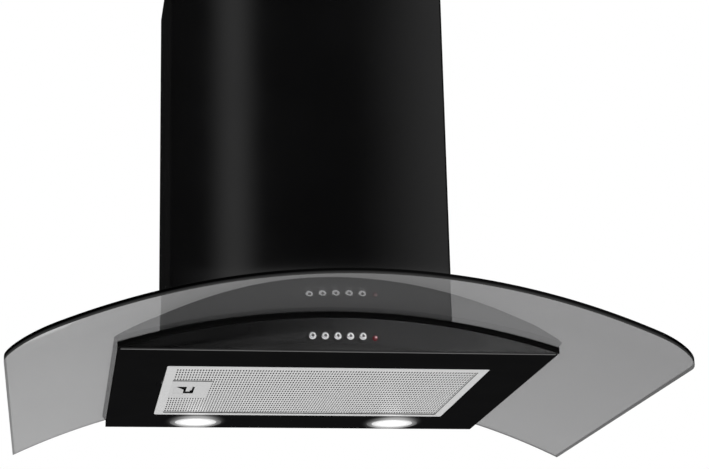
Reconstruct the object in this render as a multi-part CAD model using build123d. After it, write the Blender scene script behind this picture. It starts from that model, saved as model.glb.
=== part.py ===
from build123d import *
import math
import os

# Wall mount range hood with a curved glass canopy, as separate pieces. Millimetres.
# Seen from the front, +X runs to the right, +Y runs into the wall and +Z is up.
# The origin lies on the wall, midway between the two hanging holes.

# Fits and gaps
SEAT_GAP = 0.3  # between curved pieces that sit on each other
RUNNING_GAP = 0.05  # radial, round a shaft or pin
LOOSE_GAP = 0.3  # round pieces that slide or drop into place
SCREW_GAP = 0.3  # radial, round a screw shank
CUT_MARGIN = 1.0  # how far a cut runs past the face that it opens

# Glass canopy
GLASS_WIDTH = 600.0
GLASS_DEPTH = 520.0
GLASS_BOW = 8.0  # how far the front edge bows out past its corners
GLASS_THICKNESS = 5.0
GLASS_RADIUS = 685.0  # underside of the arch
GLASS_CORNER_RADIUS = 45.0
GLASS_WALL_GAP = 2.0
GASKET_THICKNESS = 2.0
GASKET_WIDTH = 12.0
NOTCH_GAP = 3.0  # glass to motor box, all round
NOTCH_CORNER_RADIUS = 8.0

# Body
BODY_WIDTH = 404.0
BODY_DEPTH = 385.0  # wall to the front of the fascia
BODY_SHEET = 1.0
BODY_SIDE_HEIGHT = 7.0  # underside of the glass above the underside of the hood, at the body's sides
HANG_HEIGHT = 350.0  # hanging holes above the underside of the hood
FASCIA_THICKNESS = 3.0
FASCIA_EDGE_RADIUS = 1.2
FASCIA_END_GAP = 2.0  # fascia ends short of the body's sides
FRONT_SEAL_HEIGHT = 6.0
FRONT_SEAL_PROUD = 1.5
FRONT_SEAL_ROUND = 1.2
FRONT_SEAL_END = 1.0  # seal runs past the body's sides

# Motor box and hanging holes
BOX_SHEET = 1.5
BOX_FLANGE = 20.0  # width of the strip that clamps the glass
BOX_FLANGE_GAP = 2.0  # strip to the inside of the chimney
HANG_ABOVE_BOX = 20.0  # hanging holes above the top of the box
AIRWAY_LIP = 8.0  # body shell left standing inside the box walls
HANG_PLATE_MARGIN = 18.0  # plate above the hanging holes
HANG_SPACING = 200.0
HANG_HOLE_RADIUS = 4.25

# Screws that clamp the glass
CLAMP_SCREW_RADIUS = 2.5
CLAMP_HEAD_RADIUS = 4.5
CLAMP_HEAD_HEIGHT = 3.0
CLAMP_NUT_RADIUS = 4.4
CLAMP_NUT_HEIGHT = 4.0
CLAMP_EDGE = 8.0  # screw line in from the edge of the box flange
CLAMP_BACK = 40.0  # rear pair from the wall
CLAMP_FRONT = 140.0  # front pair from the wall

# Chimney
CHIMNEY_WIDTH = 290.0
CHIMNEY_DEPTH = 194.0
CHIMNEY_SHEET = 1.0
CHIMNEY_BEND = 3.0
CHIMNEY_TOP = 477.0  # above the underside of the hood
CHIMNEY_LIP = 12.0
CHIMNEY_SEAT_GAP = 0.5
EXTENSION_GAP = 0.6
EXTENSION_LENGTH = 340.0
EXTENSION_BELOW_TOP = 1.0
EXTENSION_BACK_GAP = 2.0
BRACKET_SHEET = 1.5
BRACKET_HEIGHT = 24.0
BRACKET_ARM = 24.0
BRACKET_TOP_GAP = 8.0  # below the top of the chimney
BRACKET_SIDE_GAP = 0.5
BRACKET_SPACING = 200.0
BRACKET_HOLE_RADIUS = 3.25

# Blower
CASE_SIDE_GAP = 2.0  # case to the left wall of the box
BLOWER_HEIGHT = 160.0  # shaft above the underside of the hood
CASE_WALL = 2.0
CASE_DEPTH = 86.0
SCROLL_GAP = 8.0  # impeller to the first quarter of the scroll
SCROLL_STEP = 6.0  # growth of the radius at each quarter
CASE_FLANGE = 12.0
IMPELLER_RADIUS = 70.0
IMPELLER_EYE_RADIUS = 56.0
IMPELLER_SIDE_GAP = 4.0
IMPELLER_DISC = 2.0
IMPELLER_RING = 3.0
BLADE_COUNT = 28
BLADE_THICKNESS = 1.2
BLADE_LEAN = 25.0  # degrees from the radius
INLET_RADIUS = 52.0
INLET_LIP = 5.0
HUB_RADIUS = 12.0
HUB_LENGTH = 24.0
SHAFT_RADIUS = 4.0
MOTOR_RADIUS = 46.0
MOTOR_WALL_GAP = 5.0  # motor to the back wall of the box
MOTOR_BORE_FLOOR = 6.0
MOTOR_BOSS_RADIUS = 18.0
MOTOR_SCREW_CIRCLE = 34.0
MOTOR_SCREW_COUNT = 3
MOTOR_SCREW_RADIUS = 2.0
MOTOR_SCREW_DEPTH = 8.0
MOTOR_SCREW_HEAD_RADIUS = 3.5
MOTOR_SCREW_HEAD_HEIGHT = 1.6

# Outlet collar and back-draught flaps
COLLAR_RADIUS = 59.5
COLLAR_WALL = 2.0
COLLAR_HEIGHT = 40.0  # above its flange
COLLAR_FLANGE_RADIUS = 72.0
COLLAR_FLANGE = 2.0
COLLAR_SCREW_CIRCLE = 67.0
COLLAR_SCREW_RADIUS = 2.0
COLLAR_SCREW_HEAD_RADIUS = 3.6
COLLAR_SCREW_HEAD_HEIGHT = 2.2
FLAP_HEIGHT = 20.0  # flap pin above the top of the motor box
FLAP_THICKNESS = 1.2
FLAP_EDGE_GAP = 1.3
FLAP_LEDGE = 3.5
FLAP_LEDGE_THICKNESS = 1.5
FLAP_PIN_RADIUS = 1.5
FLAP_PIN_INSET = 0.7  # pin ends inside the outside of the collar
KNUCKLE_RADIUS = 2.6
KNUCKLE_LENGTH = 20.0
KNUCKLE_GAP = 2.0
KNUCKLE_CLEAR = 0.5

# Controls
CONTROL_PITCH = 11.6
CONTROL_CENTRE = 1.5  # middle of the row of buttons and lamp
CONTROL_HEIGHT = 13.9
BUTTON_NAMES = ("light", "stop", "low", "medium", "high")
BUTTON_RADIUS = 3.7
BUTTON_PROUD = 4.0
BUTTON_LENGTH = 16.0
BUTTON_ROUND = 1.3
BUTTON_DISH_RADIUS = 2.6
BUTTON_DISH_DEPTH = 0.9
BUTTON_TRAVEL = 2.5
GUIDE_WALL = 0.9
GUIDE_PROUD = 0.6
INDICATOR_RADIUS = 2.6
INDICATOR_DROP = 1.2
INDICATOR_PROUD = 1.6
SWITCH_MARGIN = 6.0
SWITCH_HALF_HEIGHT = 7.5
SWITCH_DEPTH = 24.0
SWITCH_WINDOW_GAP = 1.0
SWITCH_FLOOR_GAP = 2.0
FASCIA_SCREW_X = 95.0
FASCIA_SCREW_HEIGHT = 12.0
FASCIA_SCREW_RADIUS = 1.5
FASCIA_SCREW_DEPTH = 2.0
FASCIA_SCREW_HEAD_RADIUS = 3.0
FASCIA_SCREW_HEAD_HEIGHT = 1.8

# Lamps
LAMP_X = 107.0
LAMP_BACK = 36.0
LAMP_RADIUS = 23.6
LAMP_WALL = 1.2
LAMP_HEIGHT = 16.0
LAMP_RING_WIDTH = 4.0
LAMP_RING_THICKNESS = 1.2
LAMP_LENS_THICKNESS = 2.0
LAMP_LENS_RECESS = 0.3

# Grease filter
FILTER_WIDTH = 308.0
FILTER_LENGTH = 238.5
FILTER_BACK = 74.5  # rear edge from the wall
FILTER_THICKNESS = 8.3
FILTER_PROUD = 0.3
FILTER_GAP = 1.0
FILTER_EDGE_RADIUS = 1.5
FILTER_CORNER_RADIUS = 3.0
FILTER_WALL = 1.0
FILTER_FLANGE = 0.8
FILTER_TOP_FLANGE = 1.0
FILTER_BORDER_SIDE = 9.0
FILTER_BORDER_END = 11.0
FILTER_SHEET = 0.8
MESH_LAYERS = 6
MESH_THICKNESS = 0.4
HOOK_LENGTH = 9.0
HOOK_WIDTH = 20.0
HOOK_THICKNESS = 1.2
HOOK_SPACING = 120.0

# Filter latch
LATCH_FORWARD = 11.25  # middle of the latch plate in front of the middle of the filter
LATCH_PLATE_WIDTH = 39.0
LATCH_PLATE_LENGTH = 80.0
LATCH_PLATE_PROUD = 0.5
LATCH_TRAVEL = 3.3
LATCH_THICKNESS = 2.0
LATCH_OVERLAP = 3.0  # bolt past the edge of the filter opening
BOLT_WIDTH = 16.0
BOLT_FRONT_INSET = 4.0  # bolt in from the front edge of the latch plate
TAB_WIDTH = 4.0
TAB_LENGTH = 25.0
TAB_LEFT = 16.0  # tab in from the left edge of the latch plate
TAB_SIDE_GAP = 2.0
TAB_END_GAP = 7.0
TAB_PROUD = 1.1
TAB_FROM_BOLT = 6.0
DISH_LENGTH = 40.0
DISH_DEPTH = 3.8
DISH_FLOOR = 0.8
DISH_LEFT = 2.5  # dish in from the left edge of the latch plate
SLIT_WIDTH = 22.5  # opening in the floor of the dish, at the latch slot
SLIT_END_WIDTH = 10.0  # at the left end of the dish
SLIT_MARGIN = 0.5  # opening in from the left wall and the front wall of the dish
SPRING_WIRE = 0.5
SPRING_RADIUS = 1.0
SPRING_TURNS = 6
KEEPER_LENGTH = 20.0
KEEPER_THICKNESS = 0.5
KEEPER_NOTCH = 1.5  # panel notch past the tip of the bolt
KEEPER_SIDE = 0.5

# Electrics inside the motor box
CONTROL_BOX_DEPTH = 25.0
CONTROL_BOX_LENGTH = 80.0
CONTROL_BOX_HEIGHT = 90.0
CONTROL_BOX_BOTTOM = 200.0
CONTROL_BOX_BACK = 40.0
CAPACITOR_RADIUS = 14.0
CAPACITOR_LENGTH = 50.0
CAPACITOR_BOTTOM = 120.0
CAPACITOR_BACK = 80.0
GLAND_INSET = 40.0  # from the right side of the box
GLAND_CASE_GAP = 2.0  # behind the flange of the blower case
GLAND_BORE = 4.0
GLAND_RADIUS = 7.0
GLAND_FLANGE_RADIUS = 11.0
GLAND_FLANGE = 3.0
GLAND_HEIGHT = 12.0
GLAND_TAIL = 4.0

# Places worked out from the sizes above
UNDERSIDE = -HANG_HEIGHT
BODY_DROP = GLASS_RADIUS - math.sqrt(GLASS_RADIUS**2 - (BODY_WIDTH / 2) ** 2)
GLASS_CROWN = BODY_SIDE_HEIGHT + BODY_DROP  # underside of the glass at the middle
CURVE_AXIS = UNDERSIDE + GLASS_CROWN - GLASS_RADIUS
GLASS_TOP_RADIUS = GLASS_RADIUS + GLASS_THICKNESS
SHELL_RADIUS = GLASS_RADIUS - GASKET_THICKNESS
FASCIA_RADIUS = GLASS_RADIUS - FRONT_SEAL_HEIGHT
FLANGE_RADIUS = GLASS_TOP_RADIUS + GASKET_THICKNESS
CURVE_HIGH = UNDERSIDE + GLASS_CROWN + GLASS_THICKNESS + GASKET_THICKNESS + 2 * BOX_SHEET
CURVE_LOW = CURVE_AXIS + math.sqrt(GLASS_RADIUS**2 - (GLASS_WIDTH / 2) ** 2) - GLASS_THICKNESS
SHELL_FRONT = FASCIA_THICKNESS - BODY_DEPTH
SHELL_FLOOR = UNDERSIDE + BODY_SHEET
BOX_TOP = -HANG_ABOVE_BOX
BOX_RIM = CHIMNEY_SHEET + BOX_FLANGE_GAP + BOX_FLANGE
BOX_WIDTH = CHIMNEY_WIDTH - 2 * BOX_RIM
BOX_DEPTH = CHIMNEY_DEPTH - BOX_RIM
CHIMNEY_ROOF = UNDERSIDE + CHIMNEY_TOP
COLLAR_Y = -BOX_DEPTH / 2
CASE_BACK = -COLLAR_Y - CASE_DEPTH / 2
CASE_FRONT = CASE_BACK + CASE_DEPTH
SCROLL_RADIUS = IMPELLER_RADIUS + SCROLL_GAP
SCROLL_LEFT = SCROLL_RADIUS + SCROLL_STEP / 2 + CASE_WALL
BLOWER_X = BOX_SHEET + CASE_SIDE_GAP + SCROLL_LEFT - BOX_WIDTH / 2
MOTOR_LENGTH = CASE_BACK - BOX_SHEET - MOTOR_WALL_GAP
GLAND_X = BOX_WIDTH / 2 - GLAND_INSET
GLAND_BACK = CASE_BACK - CASE_FLANGE - GLAND_CASE_GAP - GLAND_RADIUS
COLLAR_SCREW_REACH = COLLAR_SCREW_CIRCLE * math.sqrt(0.5)
FILTER_Y = -FILTER_BACK - FILTER_LENGTH / 2
FILTER_FACE = UNDERSIDE - FILTER_PROUD
LATCH_Y = FILTER_Y - LATCH_FORWARD
FILTER_TOP = FILTER_FACE + FILTER_THICKNESS
FILTER_SEAT = FILTER_FACE + FILTER_FLANGE  # underside of the face sheet
CONTROL_Z = UNDERSIDE + CONTROL_HEIGHT
FASCIA_FACE = -BODY_DEPTH


def block(low, high):
    """Box between two opposite corners."""
    size = Vector(high) - Vector(low)
    return Pos((Vector(low) + Vector(high)) * 0.5) * Box(size.X, size.Y, size.Z)


def rod(start, direction, radius, length):
    """Round bar from a start point along a direction."""
    return extrude(Plane(origin=start, z_dir=direction) * Circle(radius), length)


def tube(start, direction, radius, bore, length):
    """Round tube from a start point along a direction."""
    return rod(start, direction, radius, length) - rod(start, direction, bore, length)


def barrel(radius):
    """Cylinder about the centre line of the glass curve, longer than any piece."""
    return Pos(0, 0, CURVE_AXIS) * Rot(90, 0, 0) * Cylinder(radius, 4 * GLASS_DEPTH)


def under(low, high, radius):
    """Box cut down to what lies under a curve of this radius."""
    return block(low, high) & barrel(radius)


def band(low, high, inner, outer):
    """Curved sheet between two radii, cut to a box."""
    return under(low, high, outer) - barrel(inner)


def rounded_plate(width, length, corner, low, high, centre_y):
    """Plate with rounded corners, centred on the hood from left to right."""
    outline = RectangleRounded(width, length, corner)
    return extrude(Pos(0, centre_y, low) * outline, high - low)


def group(solids):
    """Several like solids as one node."""
    return Compound(children=list(solids))


def control_x(index):
    """Place of a button or of the indicator along the row."""
    return CONTROL_CENTRE + (index - len(BUTTON_NAMES) / 2) * CONTROL_PITCH


def clamp_axes():
    """Foot and outward direction of each glass clamp screw, on the curve's centre line."""
    lean = math.asin((BOX_WIDTH / 2 + BOX_FLANGE - CLAMP_EDGE) / FLANGE_RADIUS)
    axes = []
    for side in (-1, 1):
        for back in (CLAMP_BACK, CLAMP_FRONT):
            axes.append(((0, -back, CURVE_AXIS), (side * math.sin(lean), 0, math.cos(lean))))
    return axes


def clamp_rod(axis, radius, inner, outer):
    """Round bar on a clamp screw's axis between two distances from the curve's centre line."""
    foot, direction = axis
    start = Vector(foot) + Vector(direction) * inner
    return rod(start, direction, radius, outer - inner)


def clamp_holes(inner, outer):
    """Clearance holes for the clamp screws."""
    return [clamp_rod(axis, CLAMP_SCREW_RADIUS + SCREW_GAP, inner, outer) for axis in clamp_axes()]


def notch_outline(margin):
    """Plan of the cut that lets the motor box through the glass, open to the wall."""
    width = BOX_WIDTH + 2 * margin
    depth = BOX_DEPTH + margin
    plan = Pos(0, -depth / 2) * Rectangle(width, depth)
    return fillet(plan.vertices().group_by(Axis.Y)[0], NOTCH_CORNER_RADIUS)


def make_glass_canopy():
    """Curved glass with a bowed front edge, rounded front corners and a notch for the motor box."""
    half = GLASS_WIDTH / 2
    corner = GLASS_BOW - GLASS_DEPTH
    front = ThreePointArc((-half, corner), (0, -GLASS_DEPTH), (half, corner))
    rest = Polyline((half, corner), (half, -GLASS_WALL_GAP), (-half, -GLASS_WALL_GAP), (-half, corner))
    outline = make_face(front + rest)
    outline = fillet(outline.vertices().group_by(Axis.Y)[0], GLASS_CORNER_RADIUS)
    plan = outline - notch_outline(NOTCH_GAP)
    prism = extrude(Pos(0, 0, CURVE_LOW) * plan, CURVE_HIGH - CURVE_LOW)
    glass = (prism & barrel(GLASS_TOP_RADIUS)) - barrel(GLASS_RADIUS)
    return glass - clamp_holes(GLASS_RADIUS - GLASS_THICKNESS, GLASS_TOP_RADIUS + GLASS_THICKNESS)


def notch_ring(inner, outer):
    """Curved strip round the notch of the glass, as wide as the clamp flange."""
    half = BOX_WIDTH / 2 + BOX_FLANGE
    low = (-half, -BOX_DEPTH - BOX_FLANGE, CURVE_LOW)
    high = (half, -GLASS_WALL_GAP - CHIMNEY_SHEET, CURVE_HIGH)
    opening = extrude(Pos(0, 0, CURVE_LOW) * notch_outline(NOTCH_GAP), CURVE_HIGH - CURVE_LOW)
    return band(low, high, inner, outer) - opening - clamp_holes(inner - CUT_MARGIN, outer + CUT_MARGIN)


def make_glass_gasket():
    """Rubber under the glass: a rim along the sides of the body and a strip round the notch."""
    inner = SHELL_RADIUS + SEAT_GAP
    outer = GLASS_RADIUS - SEAT_GAP
    half = BODY_WIDTH / 2
    rim = band((-half, SHELL_FRONT, CURVE_LOW), (half, -GLASS_WALL_GAP, CURVE_HIGH), inner, outer)
    window_low = (GASKET_WIDTH - half, SHELL_FRONT + GASKET_WIDTH, CURVE_LOW)
    rim -= block(window_low, (half - GASKET_WIDTH, 0, CURVE_HIGH))
    return group([rim, notch_ring(inner, outer)])


def make_clamp_gasket():
    """Rubber between the glass and the flange of the motor box."""
    return notch_ring(GLASS_TOP_RADIUS + SEAT_GAP, FLANGE_RADIUS - SEAT_GAP)


def make_front_seal():
    """Round-nosed rubber strip that fills the arch between fascia and glass."""
    half = BODY_WIDTH / 2 + FRONT_SEAL_END
    low = (-half, FASCIA_FACE - FRONT_SEAL_PROUD, CURVE_LOW)
    high = (half, SHELL_FRONT, CURVE_HIGH)
    seal = band(low, high, FASCIA_RADIUS + SEAT_GAP, GLASS_RADIUS - SEAT_GAP)
    nose = seal.faces().sort_by(Axis.Y)[0]
    return fillet(nose.edges(), FRONT_SEAL_ROUND)


def fascia_screw_places():
    """Points where the fascia is screwed to the front wall of the body."""
    height = UNDERSIDE + FASCIA_SCREW_HEIGHT
    return [(side * FASCIA_SCREW_X, SHELL_FRONT, height) for side in (-1, 1)]


def switch_sides():
    """Left and right ends of the switch module."""
    margin = BUTTON_RADIUS + SWITCH_MARGIN
    return control_x(0) - margin, control_x(len(BUTTON_NAMES)) + margin


def make_body_shell():
    """Black sheet shell under the glass: arched top, side, front and rear walls."""
    half = BODY_WIDTH / 2
    outer = under((-half, SHELL_FRONT, SHELL_FLOOR), (half, 0, CURVE_HIGH), SHELL_RADIUS)
    inside_low = (BODY_SHEET - half, SHELL_FRONT + BODY_SHEET, SHELL_FLOOR)
    inside_high = (half - BODY_SHEET, -BODY_SHEET, CURVE_HIGH)
    shell = outer - under(inside_low, inside_high, SHELL_RADIUS - BODY_SHEET)
    air_half = BOX_WIDTH / 2 - BOX_SHEET - AIRWAY_LIP
    air_front = AIRWAY_LIP + BOX_SHEET - BOX_DEPTH
    air_floor = SHELL_FLOOR + FILTER_THICKNESS
    shell -= block((-air_half, air_front, air_floor), (air_half, -AIRWAY_LIP - BOX_SHEET, CURVE_HIGH))
    left, right = switch_sides()
    window_half = SWITCH_HALF_HEIGHT + SWITCH_WINDOW_GAP
    low = (left - SWITCH_WINDOW_GAP, SHELL_FRONT, CONTROL_Z - window_half)
    shell -= block(low, (right + SWITCH_WINDOW_GAP, SHELL_FRONT + BODY_SHEET, CONTROL_Z + window_half))
    for place in fascia_screw_places():
        shell -= rod(place, (0, 1, 0), FASCIA_SCREW_RADIUS + SCREW_GAP, BODY_SHEET)
    return shell - clamp_holes(SHELL_RADIUS - 2 * BODY_SHEET, SHELL_RADIUS + BODY_SHEET)


def bolt_span():
    """Front and rear edges of the latch bolt."""
    front = LATCH_Y - LATCH_PLATE_LENGTH / 2 + BOLT_FRONT_INSET
    return front, front + BOLT_WIDTH


def make_underside_panel():
    """Flat sheet under the body, with openings for the filter, the lamps and the latch bolt."""
    half = BODY_WIDTH / 2
    panel = block((-half, SHELL_FRONT, UNDERSIDE), (half, 0, SHELL_FLOOR))
    width = FILTER_WIDTH + 2 * FILTER_GAP
    length = FILTER_LENGTH + 2 * FILTER_GAP
    corner = FILTER_CORNER_RADIUS + FILTER_GAP
    panel -= rounded_plate(width, length, corner, UNDERSIDE, SHELL_FLOOR, FILTER_Y)
    for side in (-1, 1):
        panel -= rod((side * LAMP_X, -LAMP_BACK, UNDERSIDE), (0, 0, 1), LAMP_RADIUS + LOOSE_GAP, BODY_SHEET)
    front, back = bolt_span()
    notch_end = -width / 2 - LATCH_OVERLAP - KEEPER_NOTCH
    notch_low = (notch_end, front - KEEPER_SIDE, UNDERSIDE)
    return panel - block(notch_low, (CUT_MARGIN - width / 2, back + KEEPER_SIDE, SHELL_FLOOR))


def make_fascia():
    """Arched front panel with holes for the buttons and the indicator."""
    half = BODY_WIDTH / 2 - FASCIA_END_GAP
    plate = under((-half, FASCIA_FACE, UNDERSIDE), (half, SHELL_FRONT, CURVE_HIGH), FASCIA_RADIUS)
    lower_edge = plate.edges().filter_by(Axis.X).group_by(Axis.Z)[0].sort_by(Axis.Y)[0]
    plate = fillet(lower_edge, FASCIA_EDGE_RADIUS)
    for index in range(len(BUTTON_NAMES)):
        start = (control_x(index), FASCIA_FACE, CONTROL_Z)
        plate -= rod(start, (0, 1, 0), BUTTON_RADIUS + LOOSE_GAP, FASCIA_THICKNESS)
    lens = (control_x(len(BUTTON_NAMES)), FASCIA_FACE, CONTROL_Z - INDICATOR_DROP)
    plate -= rod(lens, (0, 1, 0), INDICATOR_RADIUS + RUNNING_GAP, FASCIA_THICKNESS)
    for place in fascia_screw_places():
        plate -= rod(place, (0, -1, 0), FASCIA_SCREW_RADIUS + RUNNING_GAP, FASCIA_SCREW_DEPTH)
    return plate


def make_fascia_screws():
    """Two screws from inside the body into the back of the fascia."""
    screws = []
    for x, y, z in fascia_screw_places():
        seat = (x, y + BODY_SHEET, z)
        head = rod(seat, (0, 1, 0), FASCIA_SCREW_HEAD_RADIUS, FASCIA_SCREW_HEAD_HEIGHT)
        screws.append(head + rod(seat, (0, -1, 0), FASCIA_SCREW_RADIUS, BODY_SHEET + FASCIA_SCREW_DEPTH))
    return group(screws)


def make_switch_module():
    """Switch housing on the back of the fascia, with one guide bore for each button."""
    left, right = switch_sides()
    low = (left, SHELL_FRONT, CONTROL_Z - SWITCH_HALF_HEIGHT)
    high = (right, SHELL_FRONT + SWITCH_DEPTH, CONTROL_Z + SWITCH_HALF_HEIGHT)
    module = block(low, high)
    reach = BUTTON_LENGTH - BUTTON_PROUD - FASCIA_THICKNESS + BUTTON_TRAVEL + SWITCH_FLOOR_GAP
    for index in range(len(BUTTON_NAMES)):
        start = (control_x(index), SHELL_FRONT, CONTROL_Z)
        module -= rod(start, (0, 1, 0), BUTTON_RADIUS + RUNNING_GAP, reach)
    return module


def make_button(index):
    """Chrome push button with a rounded rim and a dished face."""
    start = (control_x(index), FASCIA_FACE - BUTTON_PROUD, CONTROL_Z)
    button = rod(start, (0, 1, 0), BUTTON_RADIUS, BUTTON_LENGTH)
    rim = button.edges().filter_by(GeomType.CIRCLE).sort_by(Axis.Y)[0]
    button = fillet(rim, BUTTON_ROUND)
    sphere_radius = (BUTTON_DISH_RADIUS**2 + BUTTON_DISH_DEPTH**2) / (2 * BUTTON_DISH_DEPTH)
    centre = Vector(start) - Vector(0, sphere_radius - BUTTON_DISH_DEPTH, 0)
    return button - Pos(centre) * Sphere(sphere_radius)


def make_button_guides():
    """Thin rings round the buttons on the face of the fascia."""
    rings = []
    inner = BUTTON_RADIUS + LOOSE_GAP
    for index in range(len(BUTTON_NAMES)):
        start = (control_x(index), FASCIA_FACE, CONTROL_Z)
        rings.append(tube(start, (0, -1, 0), inner + GUIDE_WALL, inner, GUIDE_PROUD))
    return group(rings)


def make_indicator_lens():
    """Round-nosed red lens beside the buttons."""
    x = control_x(len(BUTTON_NAMES))
    start = (x, FASCIA_FACE - INDICATOR_PROUD, CONTROL_Z - INDICATOR_DROP)
    lens = rod(start, (0, 1, 0), INDICATOR_RADIUS, INDICATOR_PROUD + FASCIA_THICKNESS)
    rim = lens.edges().filter_by(GeomType.CIRCLE).sort_by(Axis.Y)[0]
    return fillet(rim, min(INDICATOR_PROUD, INDICATOR_RADIUS) - SEAT_GAP)


def make_lamp(side):
    """Ring, lens and housing of one lamp."""
    up = (0, 0, 1)
    bore = LAMP_RADIUS - LAMP_WALL
    foot = Vector(side * LAMP_X, -LAMP_BACK, UNDERSIDE - LAMP_RING_THICKNESS)
    ring = tube(foot, up, LAMP_RADIUS + LAMP_RING_WIDTH, bore, LAMP_RING_THICKNESS)
    ring = fillet(ring.edges().filter_by(GeomType.CIRCLE).group_by(Axis.Z)[0], LAMP_RING_THICKNESS / 2)
    lens = rod(foot + Vector(0, 0, LAMP_LENS_RECESS), up, bore - SEAT_GAP, LAMP_LENS_THICKNESS)
    seat = foot + Vector(0, 0, LAMP_RING_THICKNESS)
    cup = rod(seat, up, LAMP_RADIUS, LAMP_HEIGHT) - rod(seat, up, bore, LAMP_HEIGHT - LAMP_WALL)
    return ring, lens, cup


def make_motor_box():
    """Sheet box that carries the blower and hangs on the wall."""
    half = BOX_WIDTH / 2
    outer = block((-half, -BOX_DEPTH, CURVE_LOW), (half, 0, BOX_TOP))
    inside_low = (BOX_SHEET - half, BOX_SHEET - BOX_DEPTH, CURVE_LOW)
    outer -= block(inside_low, (half - BOX_SHEET, -BOX_SHEET, BOX_TOP - BOX_SHEET))
    box = outer - barrel(SHELL_RADIUS + SEAT_GAP)
    box += block((-half, -BOX_SHEET, BOX_TOP), (half, 0, HANG_PLATE_MARGIN))
    for side in (-1, 1):
        box -= rod((side * HANG_SPACING / 2, 0, 0), (0, -1, 0), HANG_HOLE_RADIUS, BOX_SHEET)
    box -= rod((0, COLLAR_Y, BOX_TOP), (0, 0, -1), COLLAR_RADIUS - COLLAR_WALL, BOX_SHEET)
    box -= rod((GLAND_X, -GLAND_BACK, BOX_TOP), (0, 0, -1), GLAND_RADIUS + RUNNING_GAP, BOX_SHEET)
    for x, y in collar_screw_places():
        box -= rod((x, y, BOX_TOP), (0, 0, -1), COLLAR_SCREW_RADIUS + SCREW_GAP, BOX_SHEET)
    return box


def make_clamp_flange():
    """Curved strip welded round the foot of the motor box, which clamps the glass."""
    half = BOX_WIDTH / 2
    rim = half + BOX_FLANGE
    back = -GLASS_WALL_GAP - CHIMNEY_SHEET
    low = (-rim, -BOX_DEPTH - BOX_FLANGE, CURVE_LOW)
    flange = band(low, (rim, back, CURVE_HIGH), FLANGE_RADIUS, FLANGE_RADIUS + BOX_SHEET)
    flange -= block((-half, -BOX_DEPTH, CURVE_LOW), (half, 0, CURVE_HIGH))
    return flange - clamp_holes(FLANGE_RADIUS - BOX_SHEET, FLANGE_RADIUS + 2 * BOX_SHEET)


def make_clamp_screws():
    """Screws through the box flange, the glass and the body shell."""
    screws = []
    top = FLANGE_RADIUS + BOX_SHEET + SEAT_GAP
    foot = SHELL_RADIUS - BODY_SHEET - CLAMP_NUT_HEIGHT - 2 * SEAT_GAP
    for axis in clamp_axes():
        head = clamp_rod(axis, CLAMP_HEAD_RADIUS, top, top + CLAMP_HEAD_HEIGHT)
        screws.append(head + clamp_rod(axis, CLAMP_SCREW_RADIUS, foot, top))
    return group(screws)


def make_clamp_nuts():
    """Round nuts under the body shell on the clamp screws."""
    nuts = []
    top = SHELL_RADIUS - BODY_SHEET - SEAT_GAP
    for axis in clamp_axes():
        nut = clamp_rod(axis, CLAMP_NUT_RADIUS, top - CLAMP_NUT_HEIGHT, top)
        nuts.append(nut - clamp_rod(axis, CLAMP_SCREW_RADIUS + RUNNING_GAP, top - CLAMP_NUT_HEIGHT, top))
    return group(nuts)


def channel(half, front, back, low, high, lip):
    """Sheet channel open to the wall, with two returned lips at the back."""
    outer = block((-half, front, low), (half, back, high))
    outer = fillet(outer.edges().filter_by(Axis.Z).group_by(Axis.Y)[0], CHIMNEY_BEND)
    inner_low = (CHIMNEY_SHEET - half, front + CHIMNEY_SHEET, low)
    inner = block(inner_low, (half - CHIMNEY_SHEET, back - CHIMNEY_SHEET, high))
    inner = fillet(inner.edges().filter_by(Axis.Z).group_by(Axis.Y)[0], CHIMNEY_BEND - CHIMNEY_SHEET)
    mouth = block((lip - half, back - CHIMNEY_SHEET, low), (half - lip, back, high))
    return outer - inner - mouth


def make_chimney_cover():
    """Outer chimney, standing on the glass."""
    cover = channel(CHIMNEY_WIDTH / 2, -CHIMNEY_DEPTH, 0, CURVE_LOW, CHIMNEY_ROOF, CHIMNEY_LIP)
    return cover - barrel(GLASS_TOP_RADIUS + CHIMNEY_SEAT_GAP)


def make_chimney_extension():
    """Inner chimney that slides up out of the cover."""
    inset = CHIMNEY_SHEET + EXTENSION_GAP
    top = CHIMNEY_ROOF - EXTENSION_BELOW_TOP
    back = -CHIMNEY_SHEET - EXTENSION_BACK_GAP
    half = CHIMNEY_WIDTH / 2 - inset
    return channel(half, inset - CHIMNEY_DEPTH, back, top - EXTENSION_LENGTH, top, CHIMNEY_LIP - inset)


def make_chimney_bracket():
    """Wall bracket at the top of the chimney, with two arms for the extension's screws."""
    half = CHIMNEY_WIDTH / 2 - CHIMNEY_LIP - BRACKET_SIDE_GAP
    top = CHIMNEY_ROOF - BRACKET_TOP_GAP
    bottom = top - BRACKET_HEIGHT
    bracket = block((-half, -BRACKET_SHEET, bottom), (half, 0, top))
    for side in (-1, 1):
        inner = side * (half - BRACKET_SHEET)
        low_x, high_x = sorted((inner, side * half))
        bracket += block((low_x, -BRACKET_ARM, bottom), (high_x, -BRACKET_SHEET, top))
        hole = (side * BRACKET_SPACING / 2, 0, (top + bottom) / 2)
        bracket -= rod(hole, (0, -1, 0), BRACKET_HOLE_RADIUS, BRACKET_SHEET)
    return bracket


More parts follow.
